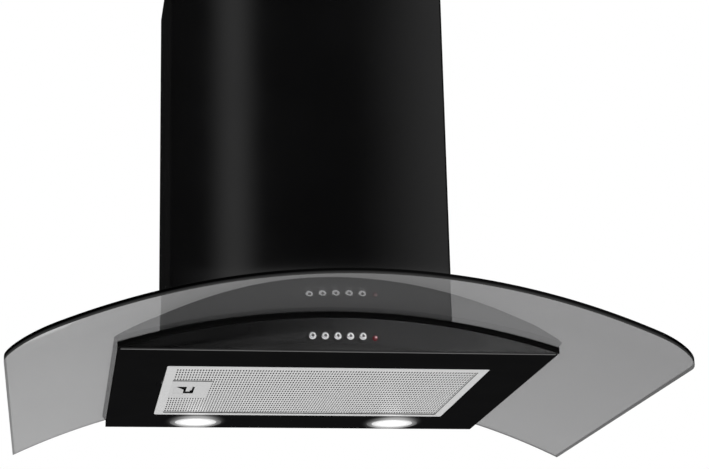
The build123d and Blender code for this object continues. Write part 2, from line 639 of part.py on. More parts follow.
def scroll_outline(margin):
    """Four-centre scroll with its throat running up to the top of the motor box."""
    half_step = SCROLL_STEP / 2
    first = SCROLL_RADIUS + margin
    second = first + SCROLL_STEP
    third = second + SCROLL_STEP
    axis = UNDERSIDE + BLOWER_HEIGHT
    top = BOX_TOP - BOX_SHEET - axis
    tongue = (-half_step - margin, math.sqrt(first**2 - margin**2) - half_step)
    left = (-half_step - first, -half_step)
    bottom = (half_step, -half_step - second)
    right = (half_step + third, half_step)
    turn = math.sqrt(0.5)
    arc_1 = ThreePointArc(tongue, (-half_step - first * turn, first * turn - half_step), left)
    arc_2 = ThreePointArc(left, (half_step - second * turn, -half_step - second * turn), bottom)
    arc_3 = ThreePointArc(bottom, (half_step + third * turn, half_step - third * turn), right)
    throat = Polyline(right, (right[0], top), (tongue[0], top), tongue)
    outline = make_face(Curve() + [arc_1, arc_2, arc_3, throat])
    return Pos(BLOWER_X, axis) * outline


def scroll_prism(margin, front, back):
    """Scroll outline drawn out between two distances from the wall."""
    return extrude(Plane.XZ.offset(back) * scroll_outline(margin), front - back)


def make_blower_case():
    """Front and rear halves of the scroll case, split across its middle."""
    axis = UNDERSIDE + BLOWER_HEIGHT
    case = scroll_prism(CASE_WALL, CASE_FRONT, CASE_BACK)
    roof = BOX_TOP - BOX_SHEET
    throat_left = BLOWER_X - SCROLL_STEP / 2
    throat_right = BLOWER_X + SCROLL_STEP / 2 + SCROLL_RADIUS + 2 * SCROLL_STEP
    left = min(throat_left, -COLLAR_SCREW_REACH) - CASE_FLANGE
    right = max(throat_right, COLLAR_SCREW_REACH) + CASE_FLANGE
    flange_low = (left, -CASE_FRONT - CASE_FLANGE, roof - CASE_WALL)
    case += block(flange_low, (right, CASE_FLANGE - CASE_BACK, roof))
    for x, y in collar_screw_places():
        case -= rod((x, y, BOX_TOP), (0, 0, -1), COLLAR_SCREW_RADIUS + RUNNING_GAP, BOX_SHEET + CASE_WALL)
    case -= scroll_prism(0, CASE_FRONT - CASE_WALL, CASE_BACK + CASE_WALL)
    inlet = (BLOWER_X, -CASE_FRONT, axis)
    case += tube(inlet, (0, -1, 0), INLET_RADIUS + CASE_WALL, INLET_RADIUS, INLET_LIP)
    case -= rod(inlet, (0, 1, 0), INLET_RADIUS, CASE_WALL)
    wall = (BLOWER_X, -CASE_BACK, axis)
    case -= rod(wall, (0, -1, 0), MOTOR_BOSS_RADIUS + LOOSE_GAP, CASE_WALL)
    for place in motor_screw_places():
        case -= rod(place, (0, -1, 0), MOTOR_SCREW_RADIUS + SCREW_GAP, CASE_WALL)
    reach = BOX_WIDTH + BOX_DEPTH
    split = -(CASE_FRONT + CASE_BACK) / 2
    front_half = case & block((-reach, -reach, UNDERSIDE), (reach, split, BOX_TOP))
    rear_half = case & block((-reach, split, UNDERSIDE), (reach, 0, BOX_TOP))
    return front_half, rear_half


def motor_screw_places():
    """Points on the rear face of the case where the motor is screwed on."""
    axis = UNDERSIDE + BLOWER_HEIGHT
    places = []
    for index in range(MOTOR_SCREW_COUNT):
        angle = 2 * math.pi * index / MOTOR_SCREW_COUNT + math.pi / 2
        x = BLOWER_X + MOTOR_SCREW_CIRCLE * math.cos(angle)
        places.append((x, -CASE_BACK, axis + MOTOR_SCREW_CIRCLE * math.sin(angle)))
    return places


def make_motor():
    """Flat motor on the back of the case, with a boss through the case and a bearing bore."""
    face = (BLOWER_X, -CASE_BACK, UNDERSIDE + BLOWER_HEIGHT)
    motor = rod(face, (0, 1, 0), MOTOR_RADIUS, MOTOR_LENGTH)
    rear_rim = motor.edges().filter_by(GeomType.CIRCLE).sort_by(Axis.Y)[-1]
    motor = fillet(rear_rim, CASE_WALL)
    motor += rod(face, (0, -1, 0), MOTOR_BOSS_RADIUS, CASE_WALL)
    boss_face = Vector(face) - Vector(0, CASE_WALL, 0)
    bore_depth = CASE_WALL + MOTOR_LENGTH - MOTOR_BORE_FLOOR
    motor -= rod(boss_face, (0, 1, 0), SHAFT_RADIUS + RUNNING_GAP, bore_depth)
    for place in motor_screw_places():
        motor -= rod(place, (0, 1, 0), MOTOR_SCREW_RADIUS + RUNNING_GAP, MOTOR_SCREW_DEPTH)
    return motor


def make_motor_screws():
    """Screws from inside the case into the motor."""
    screws = []
    for x, y, z in motor_screw_places():
        seat = (x, y - CASE_WALL, z)
        head = rod(seat, (0, -1, 0), MOTOR_SCREW_HEAD_RADIUS, MOTOR_SCREW_HEAD_HEIGHT)
        screws.append(head + rod(seat, (0, 1, 0), MOTOR_SCREW_RADIUS, CASE_WALL + MOTOR_SCREW_DEPTH))
    return group(screws)


def impeller_back():
    """Rear face of the impeller's disc."""
    return -CASE_BACK - CASE_WALL - IMPELLER_SIDE_GAP


def make_motor_shaft():
    """Shaft from the motor's bearing to the front of the impeller hub."""
    start = MOTOR_LENGTH - MOTOR_BORE_FLOOR - CASE_BACK - RUNNING_GAP
    end = impeller_back() - HUB_LENGTH
    return rod((BLOWER_X, start, UNDERSIDE + BLOWER_HEIGHT), (0, -1, 0), SHAFT_RADIUS, start - end)


def make_impeller():
    """Fan wheel: rear disc, leaning blades, front ring and hub."""
    axis = UNDERSIDE + BLOWER_HEIGHT
    back = impeller_back()
    front = CASE_WALL + IMPELLER_SIDE_GAP - CASE_FRONT
    centre = (BLOWER_X, back, axis)
    wheel = rod(centre, (0, -1, 0), IMPELLER_RADIUS, IMPELLER_DISC)
    wheel += rod(centre, (0, -1, 0), HUB_RADIUS, HUB_LENGTH)
    ring_back = (BLOWER_X, front + IMPELLER_RING, axis)
    wheel += tube(ring_back, (0, -1, 0), IMPELLER_RADIUS, IMPELLER_EYE_RADIUS, IMPELLER_RING)
    chord = (IMPELLER_RADIUS - IMPELLER_EYE_RADIUS - BLADE_THICKNESS) / math.cos(math.radians(BLADE_LEAN))
    middle = (IMPELLER_RADIUS + IMPELLER_EYE_RADIUS) / 2
    blade = Pos(middle, 0) * Rot(0, 0, BLADE_LEAN) * Rectangle(chord, BLADE_THICKNESS)
    blades = PolarLocations(0, BLADE_COUNT) * blade
    plane = Plane.XZ.offset(-back) * Pos(BLOWER_X, axis)
    wheel += extrude(plane * Sketch(children=list(blades)), back - front - IMPELLER_RING)
    return wheel - rod(centre, (0, -1, 0), SHAFT_RADIUS, HUB_LENGTH)


def collar_screw_places():
    """Four points round the outlet where the collar is screwed down."""
    reaches = (-COLLAR_SCREW_REACH, COLLAR_SCREW_REACH)
    return [(x, COLLAR_Y + y) for x in reaches for y in reaches]


def make_outlet_collar():
    """Round collar for the duct, with a ledge that the flaps rest on and holes for their pin."""
    foot = (0, COLLAR_Y, BOX_TOP)
    bore = COLLAR_RADIUS - COLLAR_WALL
    collar = tube(foot, (0, 0, 1), COLLAR_FLANGE_RADIUS, bore, COLLAR_FLANGE)
    collar += tube(foot, (0, 0, 1), COLLAR_RADIUS, bore, COLLAR_FLANGE + COLLAR_HEIGHT)
    ledge_top = BOX_TOP + FLAP_HEIGHT - FLAP_THICKNESS / 2 - LOOSE_GAP
    collar += tube((0, COLLAR_Y, ledge_top), (0, 0, -1), bore, bore - FLAP_LEDGE, FLAP_LEDGE_THICKNESS)
    collar -= flap_pin(RUNNING_GAP, COLLAR_RADIUS)
    for x, y in collar_screw_places():
        collar -= rod((x, y, BOX_TOP), (0, 0, 1), COLLAR_SCREW_RADIUS + SCREW_GAP, COLLAR_FLANGE)
    return collar


def make_collar_screws():
    """Screws through the collar and the motor box into the case flange."""
    screws = []
    top = BOX_TOP + COLLAR_FLANGE
    for x, y in collar_screw_places():
        head = rod((x, y, top), (0, 0, 1), COLLAR_SCREW_HEAD_RADIUS, COLLAR_SCREW_HEAD_HEIGHT)
        depth = COLLAR_FLANGE + BOX_SHEET + CASE_WALL
        screws.append(head + rod((x, y, top), (0, 0, -1), COLLAR_SCREW_RADIUS, depth))
    return group(screws)


def flap_pin(extra, half_length):
    """Bar along the flap hinge, a little thicker than the pin by the extra radius."""
    start = (0, COLLAR_Y + half_length, BOX_TOP + FLAP_HEIGHT)
    return rod(start, (0, -1, 0), FLAP_PIN_RADIUS + extra, 2 * half_length)


def make_flap(side):
    """Half-round flap with two hinge knuckles that sit between those of the other flap."""
    middle = BOX_TOP + FLAP_HEIGHT
    bottom = middle - FLAP_THICKNESS / 2
    top = middle + FLAP_THICKNESS / 2
    radius = COLLAR_RADIUS - COLLAR_WALL - FLAP_EDGE_GAP
    plate = rod((0, COLLAR_Y, bottom), (0, 0, 1), radius, FLAP_THICKNESS)
    inner = KNUCKLE_RADIUS + KNUCKLE_CLEAR
    cut_low, cut_high = sorted((side * inner, -side * radius))
    plate -= block((cut_low, COLLAR_Y - radius, bottom), (cut_high, COLLAR_Y + radius, top))
    pitch = KNUCKLE_LENGTH + KNUCKLE_GAP
    first = COLLAR_Y - 2 * pitch if side < 0 else COLLAR_Y - pitch
    for low in (first, first + 2 * pitch):
        web_low, web_high = sorted((0, side * (inner + FLAP_THICKNESS)))
        web = block((web_low, low, bottom), (web_high, low + KNUCKLE_LENGTH, top))
        plate += web + rod((0, low, middle), (0, 1, 0), KNUCKLE_RADIUS, KNUCKLE_LENGTH)
    return plate - flap_pin(RUNNING_GAP, COLLAR_RADIUS)


def filter_plate(inset_side, inset_end, corner, low, high):
    """Plate inside the filter's outline, inset at its sides and ends."""
    width = FILTER_WIDTH - 2 * inset_side
    return rounded_plate(width, FILTER_LENGTH - 2 * inset_end, corner, low, high, FILTER_Y)


def latch_left():
    """Left edge of the latch plate, against the border of the filter frame."""
    return FILTER_BORDER_SIDE - FILTER_WIDTH / 2 + RUNNING_GAP


def slide_level():
    """Lower face of the latch slide, clear of the face sheet."""
    return FILTER_SEAT + FILTER_SHEET + LOOSE_GAP


def latch_pocket(low, high, gap):
    """Space that the latch plate and its slide take up in the filter's layers."""
    left = latch_left() - gap
    front = LATCH_Y - LATCH_PLATE_LENGTH / 2 - gap
    right = latch_left() + LATCH_PLATE_WIDTH + gap
    return block((left, front, low), (right, LATCH_Y + LATCH_PLATE_LENGTH / 2 + gap, high))


def bolt_way(low, high):
    """Slot for the latch bolt through the filter's left side."""
    front, back = bolt_span()
    left = -FILTER_WIDTH / 2
    return block((left, front - LOOSE_GAP, low), (latch_left(), back + LOOSE_GAP, high))


def make_filter_frame():
    """Folded frame of the filter: rounded outside, channel inside, open window."""
    frame = filter_plate(0, 0, FILTER_CORNER_RADIUS, FILTER_FACE, FILTER_TOP)
    frame = fillet(frame.faces().sort_by(Axis.Z)[0].edges(), FILTER_EDGE_RADIUS)
    corner = FILTER_CORNER_RADIUS - FILTER_WALL
    frame -= filter_plate(FILTER_WALL, FILTER_WALL, corner, FILTER_SEAT, FILTER_TOP - FILTER_TOP_FLANGE)
    frame -= filter_plate(FILTER_BORDER_SIDE, FILTER_BORDER_END, corner, FILTER_FACE, FILTER_TOP)
    low = slide_level() - LOOSE_GAP
    return frame - bolt_way(low, slide_level() + LATCH_THICKNESS + LOOSE_GAP)


def layer(low, high):
    """One layer of the filter inside its frame."""
    inset = FILTER_WALL + LOOSE_GAP
    corner = FILTER_CORNER_RADIUS - FILTER_WALL
    return filter_plate(inset, inset, corner, low, high)


def make_filter_face():
    """Face sheet of the filter, cut out for the latch plate."""
    sheet = layer(FILTER_SEAT, FILTER_SEAT + FILTER_SHEET)
    return sheet - latch_pocket(FILTER_SEAT, FILTER_SEAT + FILTER_SHEET, RUNNING_GAP)


def make_filter_mesh():
    """Stack of thin mesh layers between the sheets, with a pocket for the latch."""
    low = FILTER_SEAT + FILTER_SHEET
    high = FILTER_TOP - FILTER_TOP_FLANGE - FILTER_SHEET
    pitch = (high - low - MESH_THICKNESS) / (MESH_LAYERS - 1)
    layers = []
    for index in range(MESH_LAYERS):
        start = low + index * pitch
        mesh = layer(start, start + MESH_THICKNESS) - latch_pocket(low, high, LOOSE_GAP)
        layers.append(mesh - bolt_way(low, high))
    return group(layers)


def make_filter_back():
    """Rear sheet of the filter."""
    high = FILTER_TOP - FILTER_TOP_FLANGE
    return layer(high - FILTER_SHEET, high)


def make_filter_hooks():
    """Two hooks at the right end of the filter that rest on the underside panel."""
    hooks = []
    low = SHELL_FLOOR + LOOSE_GAP
    for offset in (-HOOK_SPACING / 2, HOOK_SPACING / 2):
        front = FILTER_Y + offset - HOOK_WIDTH / 2
        corner = (FILTER_WIDTH / 2 + HOOK_LENGTH, front + HOOK_WIDTH, low + HOOK_THICKNESS)
        hooks.append(block((FILTER_WIDTH / 2, front, low), corner))
    return group(hooks)


def tab_place():
    """Left edge and front edge of the latch tab."""
    return latch_left() + TAB_LEFT, bolt_span()[1] + TAB_FROM_BOLT


def make_latch_plate():
    """Smooth plate with a finger dish and a hooked slot, its tab side wide and its other end tapered."""
    low = FILTER_SEAT - LATCH_PLATE_PROUD
    high = FILTER_SEAT + FILTER_SHEET
    plate = latch_pocket(low, high, 0)
    tab_left, tab_front = tab_place()
    slot_left = tab_left - TAB_SIDE_GAP
    slot_right = tab_left + TAB_WIDTH + LATCH_TRAVEL + LOOSE_GAP
    slot_front = tab_front - LOOSE_GAP
    dish_left = latch_left() + DISH_LEFT
    dish_inside = dish_left + DISH_FLOOR
    dish_back = tab_front + DISH_LENGTH
    dish_top = low + DISH_DEPTH + DISH_FLOOR
    plate += block((dish_left, tab_front, high), (slot_left, dish_back, dish_top))
    deepest = (tab_front + DISH_FLOOR, low + DISH_DEPTH)
    ramp = Polyline((tab_front, low), deepest, (dish_back - DISH_FLOOR, low), close=True)
    plate -= extrude(Plane.YZ.offset(dish_inside) * make_face(ramp), slot_left - dish_inside)
    slit_left = dish_inside + SLIT_MARGIN
    slit_front = tab_front + DISH_FLOOR + SLIT_MARGIN
    near = [(slit_left, slit_front), (slot_left, slit_front)]
    far = [(slot_left, tab_front + SLIT_WIDTH), (slit_left, tab_front + SLIT_END_WIDTH)]
    plate -= extrude(Pos(0, 0, high) * make_face(Polyline(*near, *far, close=True)), dish_top - high)
    slot_high = (slot_right, tab_front + TAB_LENGTH + TAB_END_GAP, high)
    return plate - block((slot_left, slot_front, low), slot_high)


def make_latch_slide():
    """Sliding bolt of the latch, with the tab that a finger pulls."""
    low = slide_level()
    high = low + LATCH_THICKNESS
    front, back = bolt_span()
    tip = -FILTER_WIDTH / 2 - FILTER_GAP - LATCH_OVERLAP
    tab_left, tab_front = tab_place()
    end = tab_left + TAB_WIDTH + TAB_SIDE_GAP
    slide = block((tip, front, low), (end, back, high))
    slide += block((tab_left, back, low), (end, tab_front + TAB_LENGTH, high))
    tab_high = (tab_left + TAB_WIDTH, tab_front + TAB_LENGTH, low)
    return slide + block((tab_left, tab_front, low - TAB_PROUD), tab_high)


def make_latch_spring():
    """Small coil that pushes the latch slide out."""
    tab_left, tab_front = tab_place()
    start = tab_left + TAB_WIDTH + TAB_SIDE_GAP + SEAT_GAP
    end = latch_left() + LATCH_PLATE_WIDTH
    front, back = bolt_span()
    centre = (start + SPRING_WIRE, (front + back) / 2, slide_level() + LATCH_THICKNESS / 2)
    length = end - start - 2 * SPRING_WIRE
    path = Helix(length / SPRING_TURNS, length, SPRING_RADIUS, center=(0, 0, 0), direction=(1, 0, 0))
    section = Plane(origin=path @ 0, z_dir=path % 0) * Circle(SPRING_WIRE / 2)
    return Pos(centre) * sweep(section, path)


def make_latch_keeper():
    """Sprung strip that the latch bolt rests on, with a nose that fills the notch of the panel."""
    front, back = bolt_span()
    edge = -FILTER_WIDTH / 2 - FILTER_GAP
    tip = edge - LOOSE_GAP
    strip = block((tip - KEEPER_LENGTH, front, SHELL_FLOOR), (tip, back, SHELL_FLOOR + KEEPER_THICKNESS))
    nose_left = edge - LATCH_OVERLAP - KEEPER_NOTCH + LOOSE_GAP
    return strip + block((nose_left, front, UNDERSIDE), (tip, back, SHELL_FLOOR))


def make_control_box():
    """Closed box for the mains terminals and the control board, on the right wall."""
    right = BOX_WIDTH / 2 - BOX_SHEET
    bottom = UNDERSIDE + CONTROL_BOX_BOTTOM
    low = (right - CONTROL_BOX_DEPTH, -CONTROL_BOX_BACK - CONTROL_BOX_LENGTH, bottom)
    return block(low, (right, -CONTROL_BOX_BACK, bottom + CONTROL_BOX_HEIGHT))


def make_capacitor():
    """Round motor capacitor standing against the right wall."""
    x = BOX_WIDTH / 2 - BOX_SHEET - CAPACITOR_RADIUS - SEAT_GAP
    foot = (x, -CAPACITOR_BACK, UNDERSIDE + CAPACITOR_BOTTOM)
    can = rod(foot, (0, 0, 1), CAPACITOR_RADIUS, CAPACITOR_LENGTH)
    return fillet(can.edges().filter_by(GeomType.CIRCLE), BOX_SHEET)


def make_cable_gland():
    """Bush in the top of the motor box where the mains cable goes in."""
    foot = (GLAND_X, -GLAND_BACK, BOX_TOP)
    gland = rod(foot, (0, 0, 1), GLAND_FLANGE_RADIUS, GLAND_FLANGE)
    gland += rod(foot, (0, 0, 1), GLAND_RADIUS, GLAND_HEIGHT)
    tail = (GLAND_X, -GLAND_BACK, BOX_TOP - BOX_SHEET - GLAND_TAIL)
    reach = BOX_SHEET + GLAND_TAIL
    gland += rod(tail, (0, 0, 1), GLAND_RADIUS, reach)
    return gland - rod(tail, (0, 0, 1), GLAND_BORE, reach + GLAND_HEIGHT)


def make_pieces():
    """Every node of the hood by name."""
    pieces = {
        "glass_canopy": make_glass_canopy(),
        "glass_gasket": make_glass_gasket(),
        "clamp_gasket": make_clamp_gasket(),
        "front_seal": make_front_seal(),
        "body_shell": make_body_shell(),
        "underside_panel": make_underside_panel(),
        "fascia": make_fascia(),
        "fascia_screws": make_fascia_screws(),
        "switch_module": make_switch_module(),
        "button_guides": make_button_guides(),
        "indicator_lens": make_indicator_lens(),
        "motor_box": make_motor_box(),
        "clamp_flange": make_clamp_flange(),
        "clamp_screws": make_clamp_screws(),
        "clamp_nuts": make_clamp_nuts(),
        "chimney_cover": make_chimney_cover(),
        "chimney_extension": make_chimney_extension(),
        "chimney_bracket": make_chimney_bracket(),
        "motor": make_motor(),
        "motor_screws": make_motor_screws(),
        "motor_shaft": make_motor_shaft(),
        "impeller": make_impeller(),
        "outlet_collar": make_outlet_collar(),
        "collar_screws": make_collar_screws(),
        "flap_pin": flap_pin(0, COLLAR_RADIUS - FLAP_PIN_INSET),
        "flap_left": make_flap(-1),
        "flap_right": make_flap(1),
        "filter_frame": make_filter_frame(),
        "filter_face": make_filter_face(),
        "filter_mesh": make_filter_mesh(),
        "filter_back": make_filter_back(),
        "filter_hooks": make_filter_hooks(),
        "latch_plate": make_latch_plate(),
        "latch_slide": make_latch_slide(),
        "latch_spring": make_latch_spring(),
        "latch_keeper": make_latch_keeper(),
        "control_box": make_control_box(),
        "capacitor": make_capacitor(),
        "cable_gland": make_cable_gland(),
    }
    pieces["blower_case_front"], pieces["blower_case_rear"] = make_blower_case()
    for index, name in enumerate(BUTTON_NAMES):
        pieces[f"button_{name}"] = make_button(index)
    for side, name in ((-1, "left"), (1, "right")):
        ring, lens, cup = make_lamp(side)
        pieces[f"lamp_ring_{name}"] = ring
        pieces[f"lamp_lens_{name}"] = lens
        pieces[f"lamp_housing_{name}"] = cup
    return pieces


os.makedirs("parts", exist_ok=True)
for piece_name, piece in make_pieces().items():
    export_step(piece, f"parts/{piece_name}.step")
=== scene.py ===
"""Looks of a wall mount range hood with a curved glass canopy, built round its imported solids.

Lengths are metres in the frame of the solids: +X runs to the right, +Y into the wall and +Z up.
"""

import logging
import math
from collections.abc import Mapping, Sequence
from dataclasses import dataclass, replace
from enum import Enum
from functools import cache

import bmesh
import bpy
from mathutils import Matrix, Vector


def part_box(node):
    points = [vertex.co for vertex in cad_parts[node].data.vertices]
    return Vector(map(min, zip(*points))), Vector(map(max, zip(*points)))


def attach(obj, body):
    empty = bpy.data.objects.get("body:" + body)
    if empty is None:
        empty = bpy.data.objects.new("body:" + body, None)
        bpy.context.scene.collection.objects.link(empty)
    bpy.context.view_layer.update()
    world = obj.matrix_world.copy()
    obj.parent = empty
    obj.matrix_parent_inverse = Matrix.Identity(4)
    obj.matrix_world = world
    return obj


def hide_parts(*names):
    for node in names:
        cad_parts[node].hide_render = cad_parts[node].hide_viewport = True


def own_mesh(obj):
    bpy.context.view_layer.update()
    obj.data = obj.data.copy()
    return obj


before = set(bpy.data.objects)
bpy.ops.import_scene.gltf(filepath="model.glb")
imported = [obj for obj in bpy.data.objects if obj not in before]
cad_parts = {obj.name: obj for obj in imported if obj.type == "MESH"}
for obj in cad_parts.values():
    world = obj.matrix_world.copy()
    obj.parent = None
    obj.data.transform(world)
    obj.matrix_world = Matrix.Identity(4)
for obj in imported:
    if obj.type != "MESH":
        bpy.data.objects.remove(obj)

LOG = logging.getLogger("range_hood")
Colour = tuple[float, float, float]
Place = tuple[float, float, float]
Span = tuple[float, float]
Link = bpy.types.NodeSocket
NodeTree = bpy.types.NodeTree
Material = bpy.types.Material
Mesh = bpy.types.Mesh
Piece = bpy.types.Object

WHOLE: Span = (0.0, 1.0)
# Where most values of soft noise lie, and where a patch of handling starts and is full.
NOISE_BAND: Span = (0.3, 0.7)
SMUDGE_BAND: Span = (0.45, 0.8)
# Scale of the slow clouding as a share of the grain's, and how fast the light round a lamp falls off.
SLOW_SHARE = 0.02
HALO_POWER = 3.0
# Distances in metres within which corners of a solid, or columns of the glass, are the same.
SAME_POINT = 1e-6
SAME_PLACE = 1e-9
# Angle in degrees over which turned and wound shapes keep an edge.
ROUND_CREASE = 40.0
# Corners of a screw's head and shank, and width in head radii of the block that cuts a head flat.
HEAD_CORNERS = 24
HEAD_RINGS = 16
SHANK_CORNERS = 16
BLOCK_WIDTH = 4.0
SIDES = ("left", "right")


class Sight(Enum):
    """Which mirrored rays see a card of light: any, those through the glass, or those mirrored twice."""

    GLOSS_ONLY = "gloss"
    GLOSS_THROUGH_GLASS = "glass"
    SECOND_GLOSS = "second"


class ScrewWay(Enum):
    """Which way the head of a set of screws points."""

    UP = (0.0, 0.0, 1.0)
    FRONT = (0.0, -1.0, 0.0)
    BACK = (0.0, 1.0, 0.0)
    OUT_OF_CURVE = (0.0, 0.0, 0.0)


def opaque(colour: object) -> object:
    """Gives a plain colour its alpha, and leaves an output as it is."""
    return colour if isinstance(colour, Link) else (*colour, 1.0)


def shade(colour: Colour, factor: float) -> Colour:
    """Makes a colour lighter or darker by a factor."""
    return tuple(min(part * factor, 1.0) for part in colour)


class Tree:
    """Adds and links the nodes of one shader or geometry tree."""

    def __init__(self, tree: NodeTree) -> None:
        """Keeps the tree that the nodes go into."""
        self.tree = tree

    def feed(self, socket: Link, value: object) -> None:
        """Links an output to a socket, or sets the socket's own value.

        Args:
            socket: the input to fill.
            value: another node's output, or a plain value.
        """
        if isinstance(value, Link):
            self.tree.links.new(value, socket)
        else:
            socket.default_value = value

    def add(self, kind: str, inputs: Mapping | None = None, **settings: object) -> bpy.types.Node:
        """Adds a node with its settings and inputs.

        Args:
            kind: Blender's name for the type of node.
            inputs: socket names or numbers, each with a value or an output to link.
            **settings: properties of the node itself.

        Returns:
            The new node.
        """
        node = self.tree.nodes.new(kind)
        for key, value in settings.items():
            setattr(node, key, value)
        for key, value in (inputs or {}).items():
            self.feed(node.inputs[key], value)
        return node

    def math(self, operation: str, first: object, second: object = 0.0) -> Link:
        """Gives the result of an operation on two numbers."""
        return self.add("ShaderNodeMath", {0: first, 1: second}, operation=operation).outputs[0]

    def vector(self, operation: str, first: object, second: object = (0.0, 0.0, 0.0)) -> Link:
        """Gives the result of an operation on two vectors."""
        node = self.add("ShaderNodeVectorMath", {0: first, 1: second}, operation=operation)
        return node.outputs["Value" if operation == "LENGTH" else "Vector"]

    def place(self) -> Link:
        """Gives the place on the piece."""
        return self.add("ShaderNodeTexCoord").outputs["Object"]

    def part(self, vector: object, axis: str) -> Link:
        """Gives one part of a vector, by its axis."""
        return self.add("ShaderNodeSeparateXYZ", {0: vector}).outputs[axis]

    def xyz(self, x: object = 0.0, y: object = 0.0, z: object = 0.0) -> Link:
        """Gives the vector with the given parts."""
        return self.add("ShaderNodeCombineXYZ", {"X": x, "Y": y, "Z": z}).outputs[0]

    def noise(self, place: Link, scale: object, detail: float) -> Link:
        """Gives soft noise at a place."""
        return self.add("ShaderNodeTexNoise", {"Vector": place, "Scale": scale, "Detail": detail}).outputs[0]

    def ramp(self, value: Link, source: Sequence[object] = WHOLE, target: Span = WHOLE,
             smooth: bool = False) -> Link:
        """Maps one range of values onto another, held at its ends.

        Args:
            value: the output to map.
            source: low and high end of the incoming range, as numbers or outputs.
            target: what the two ends become.
            smooth: ease in and out at the ends.

        Returns:
            The mapped output.
        """
        ends = {1: source[0], 2: source[1], 3: target[0], 4: target[1]}
        kind = "SMOOTHSTEP" if smooth else "LINEAR"
        return self.add("ShaderNodeMapRange", {0: value, **ends}, interpolation_type=kind).outputs[0]

    def blend(self, share: object, first: object, second: object) -> Link:
        """Mixes two colours, from the first at a share of 0 to the second at 1."""
        # The Mix node's sockets for colours are inputs 6 and 7 and output 2.
        inputs = {0: share, 6: opaque(first), 7: opaque(second)}
        return self.add("ShaderNodeMix", inputs, data_type="RGBA").outputs[2]

    def tones(self, share: object, colour: Colour, factors: Span) -> Link:
        """Mixes two tones of a colour, given by their factors."""
        return self.blend(share, *(shade(colour, factor) for factor in factors))

    def rough(self, share: Link, roughness: float, factors: Span) -> Link:
        """Gives a roughness between two factors of itself."""
        return self.ramp(share, target=(roughness * factors[0], roughness * factors[1]))

    def bump(self, height: Link, depth: float) -> Link:
        """Gives the normal of a surface with fine relief."""
        return self.add("ShaderNodeBump", {"Height": height, "Distance": depth}).outputs[0]

    def mix(self, share: Link, first: Link, second: Link) -> Link:
        """Mixes two shaders, from the first at a share of 0 to the second at 1."""
        return self.add("ShaderNodeMixShader", {0: share, 1: first, 2: second}).outputs[0]

    def mirrored(self, ray: Mapping[str, Link], times: int = 1) -> Link:
        """Picks the rays that were mirrored at least so many times."""
        return self.math("GREATER_THAN", ray["Glossy Depth"], times - 0.5)

    def group(self, tree: NodeTree, inputs: Mapping) -> Mapping[str, Link]:
        """Places a shader group with its own values and gives its outputs by name."""
        return self.add("ShaderNodeGroup", inputs, node_tree=tree).outputs


class NamedTree(Tree):
    """A node group with named inputs and outputs."""

    def __init__(self, name: str, kind: str, inputs: Mapping[str, str], outputs: Mapping[str, str]) -> None:
        """Makes the group and its sockets.

        Args:
            name: the group's name.
            kind: Shader or Geometry.
            inputs: input names, each with its type of value.
            outputs: output names, each with its type of value.
        """
        super().__init__(bpy.data.node_groups.new(name, kind + "NodeTree"))
        for way, sockets in (("OUTPUT", outputs), ("INPUT", inputs)):
            for key, value in sockets.items():
                self.tree.interface.new_socket(name=key, in_out=way, socket_type="NodeSocket" + value)
        self.given = self.add("NodeGroupInput").outputs


class MaterialTree(Tree):
    """The nodes of one new material."""

    def __init__(self, name: str) -> None:
        """Makes the material with no nodes in it.

        Args:
            name: the material's name.
        """
        self.material = bpy.data.materials.new(name)
        self.material.use_nodes = True
        super().__init__(self.material.node_tree)
        self.tree.nodes.clear()

    def principled(self, inputs: Mapping[str, object]) -> Link:
        """Gives a Principled shader with its inputs."""
        return self.add("ShaderNodeBsdfPrincipled", inputs).outputs[0]

    def close(self, surface: Link) -> Material:
        """Ends the material with its surface and gives it back."""
        self.add("ShaderNodeOutputMaterial", {"Surface": surface})
        return self.material


@cache
def grain_effect() -> NodeTree:
    """Makes the fine grain and slow clouding of a sprayed or moulded surface.

    Returns:
        The shader group.
    """
    tree = NamedTree("surface_grain", "Shader", {"Scale": "Float"}, {"Height": "Float", "Cloud": "Float"})
    place, scale = tree.place(), tree.given["Scale"]
    fine = tree.noise(place, scale, detail=2.0)
    slow = tree.noise(place, tree.math("MULTIPLY", scale, SLOW_SHARE), detail=3.0)
    tree.add("NodeGroupOutput", {"Height": fine, "Cloud": tree.ramp(slow, NOISE_BAND)})
    return tree.tree


@cache
def brushed_effect() -> NodeTree:
    """Makes the fine drawn lines of rolled or brushed metal.

    Returns:
        The shader group.
    """
    tree = NamedTree("brushed_lines", "Shader", {"Stretch": "Vector"}, {"Lines": "Float"})
    drawn = tree.vector("MULTIPLY", tree.place(), tree.given["Stretch"])
    lines = tree.noise(drawn, scale=1.0, detail=4.0)
    tree.add("NodeGroupOutput", {"Lines": tree.ramp(lines, NOISE_BAND)})
    return tree.tree


@cache
def smudge_effect() -> NodeTree:
    """Makes faint patches of handling on polished surfaces.

    Returns:
        The shader group.
    """
    tree = NamedTree("handling_smudge", "Shader", {"Scale": "Float"}, {"Mask": "Float"})
    patches = tree.noise(tree.place(), tree.given["Scale"], detail=5.0)
    tree.add("NodeGroupOutput", {"Mask": tree.ramp(patches, SMUDGE_BAND, smooth=True)})
    return tree.tree


@cache
def halo_effect() -> NodeTree:
    """Makes the spill of light round a lit lamp, fading with distance.

    Returns:
        The shader group.
    """
    sizes = {"Centre": "Vector", "Squeeze": "Vector", "Inner": "Float", "Outer": "Float"}
    tree = NamedTree("lamp_halo", "Shader", sizes, {"Mask": "Float"})
    offset = tree.vector("SUBTRACT", tree.place(), tree.given["Centre"])
    away = tree.vector("LENGTH", tree.vector("MULTIPLY", offset, tree.given["Squeeze"]))
    near = tree.ramp(away, (tree.given["Inner"], tree.given["Outer"]), (1.0, 0.0))
    tree.add("NodeGroupOutput", {"Mask": tree.math("POWER", near, HALO_POWER)})
    return tree.tree


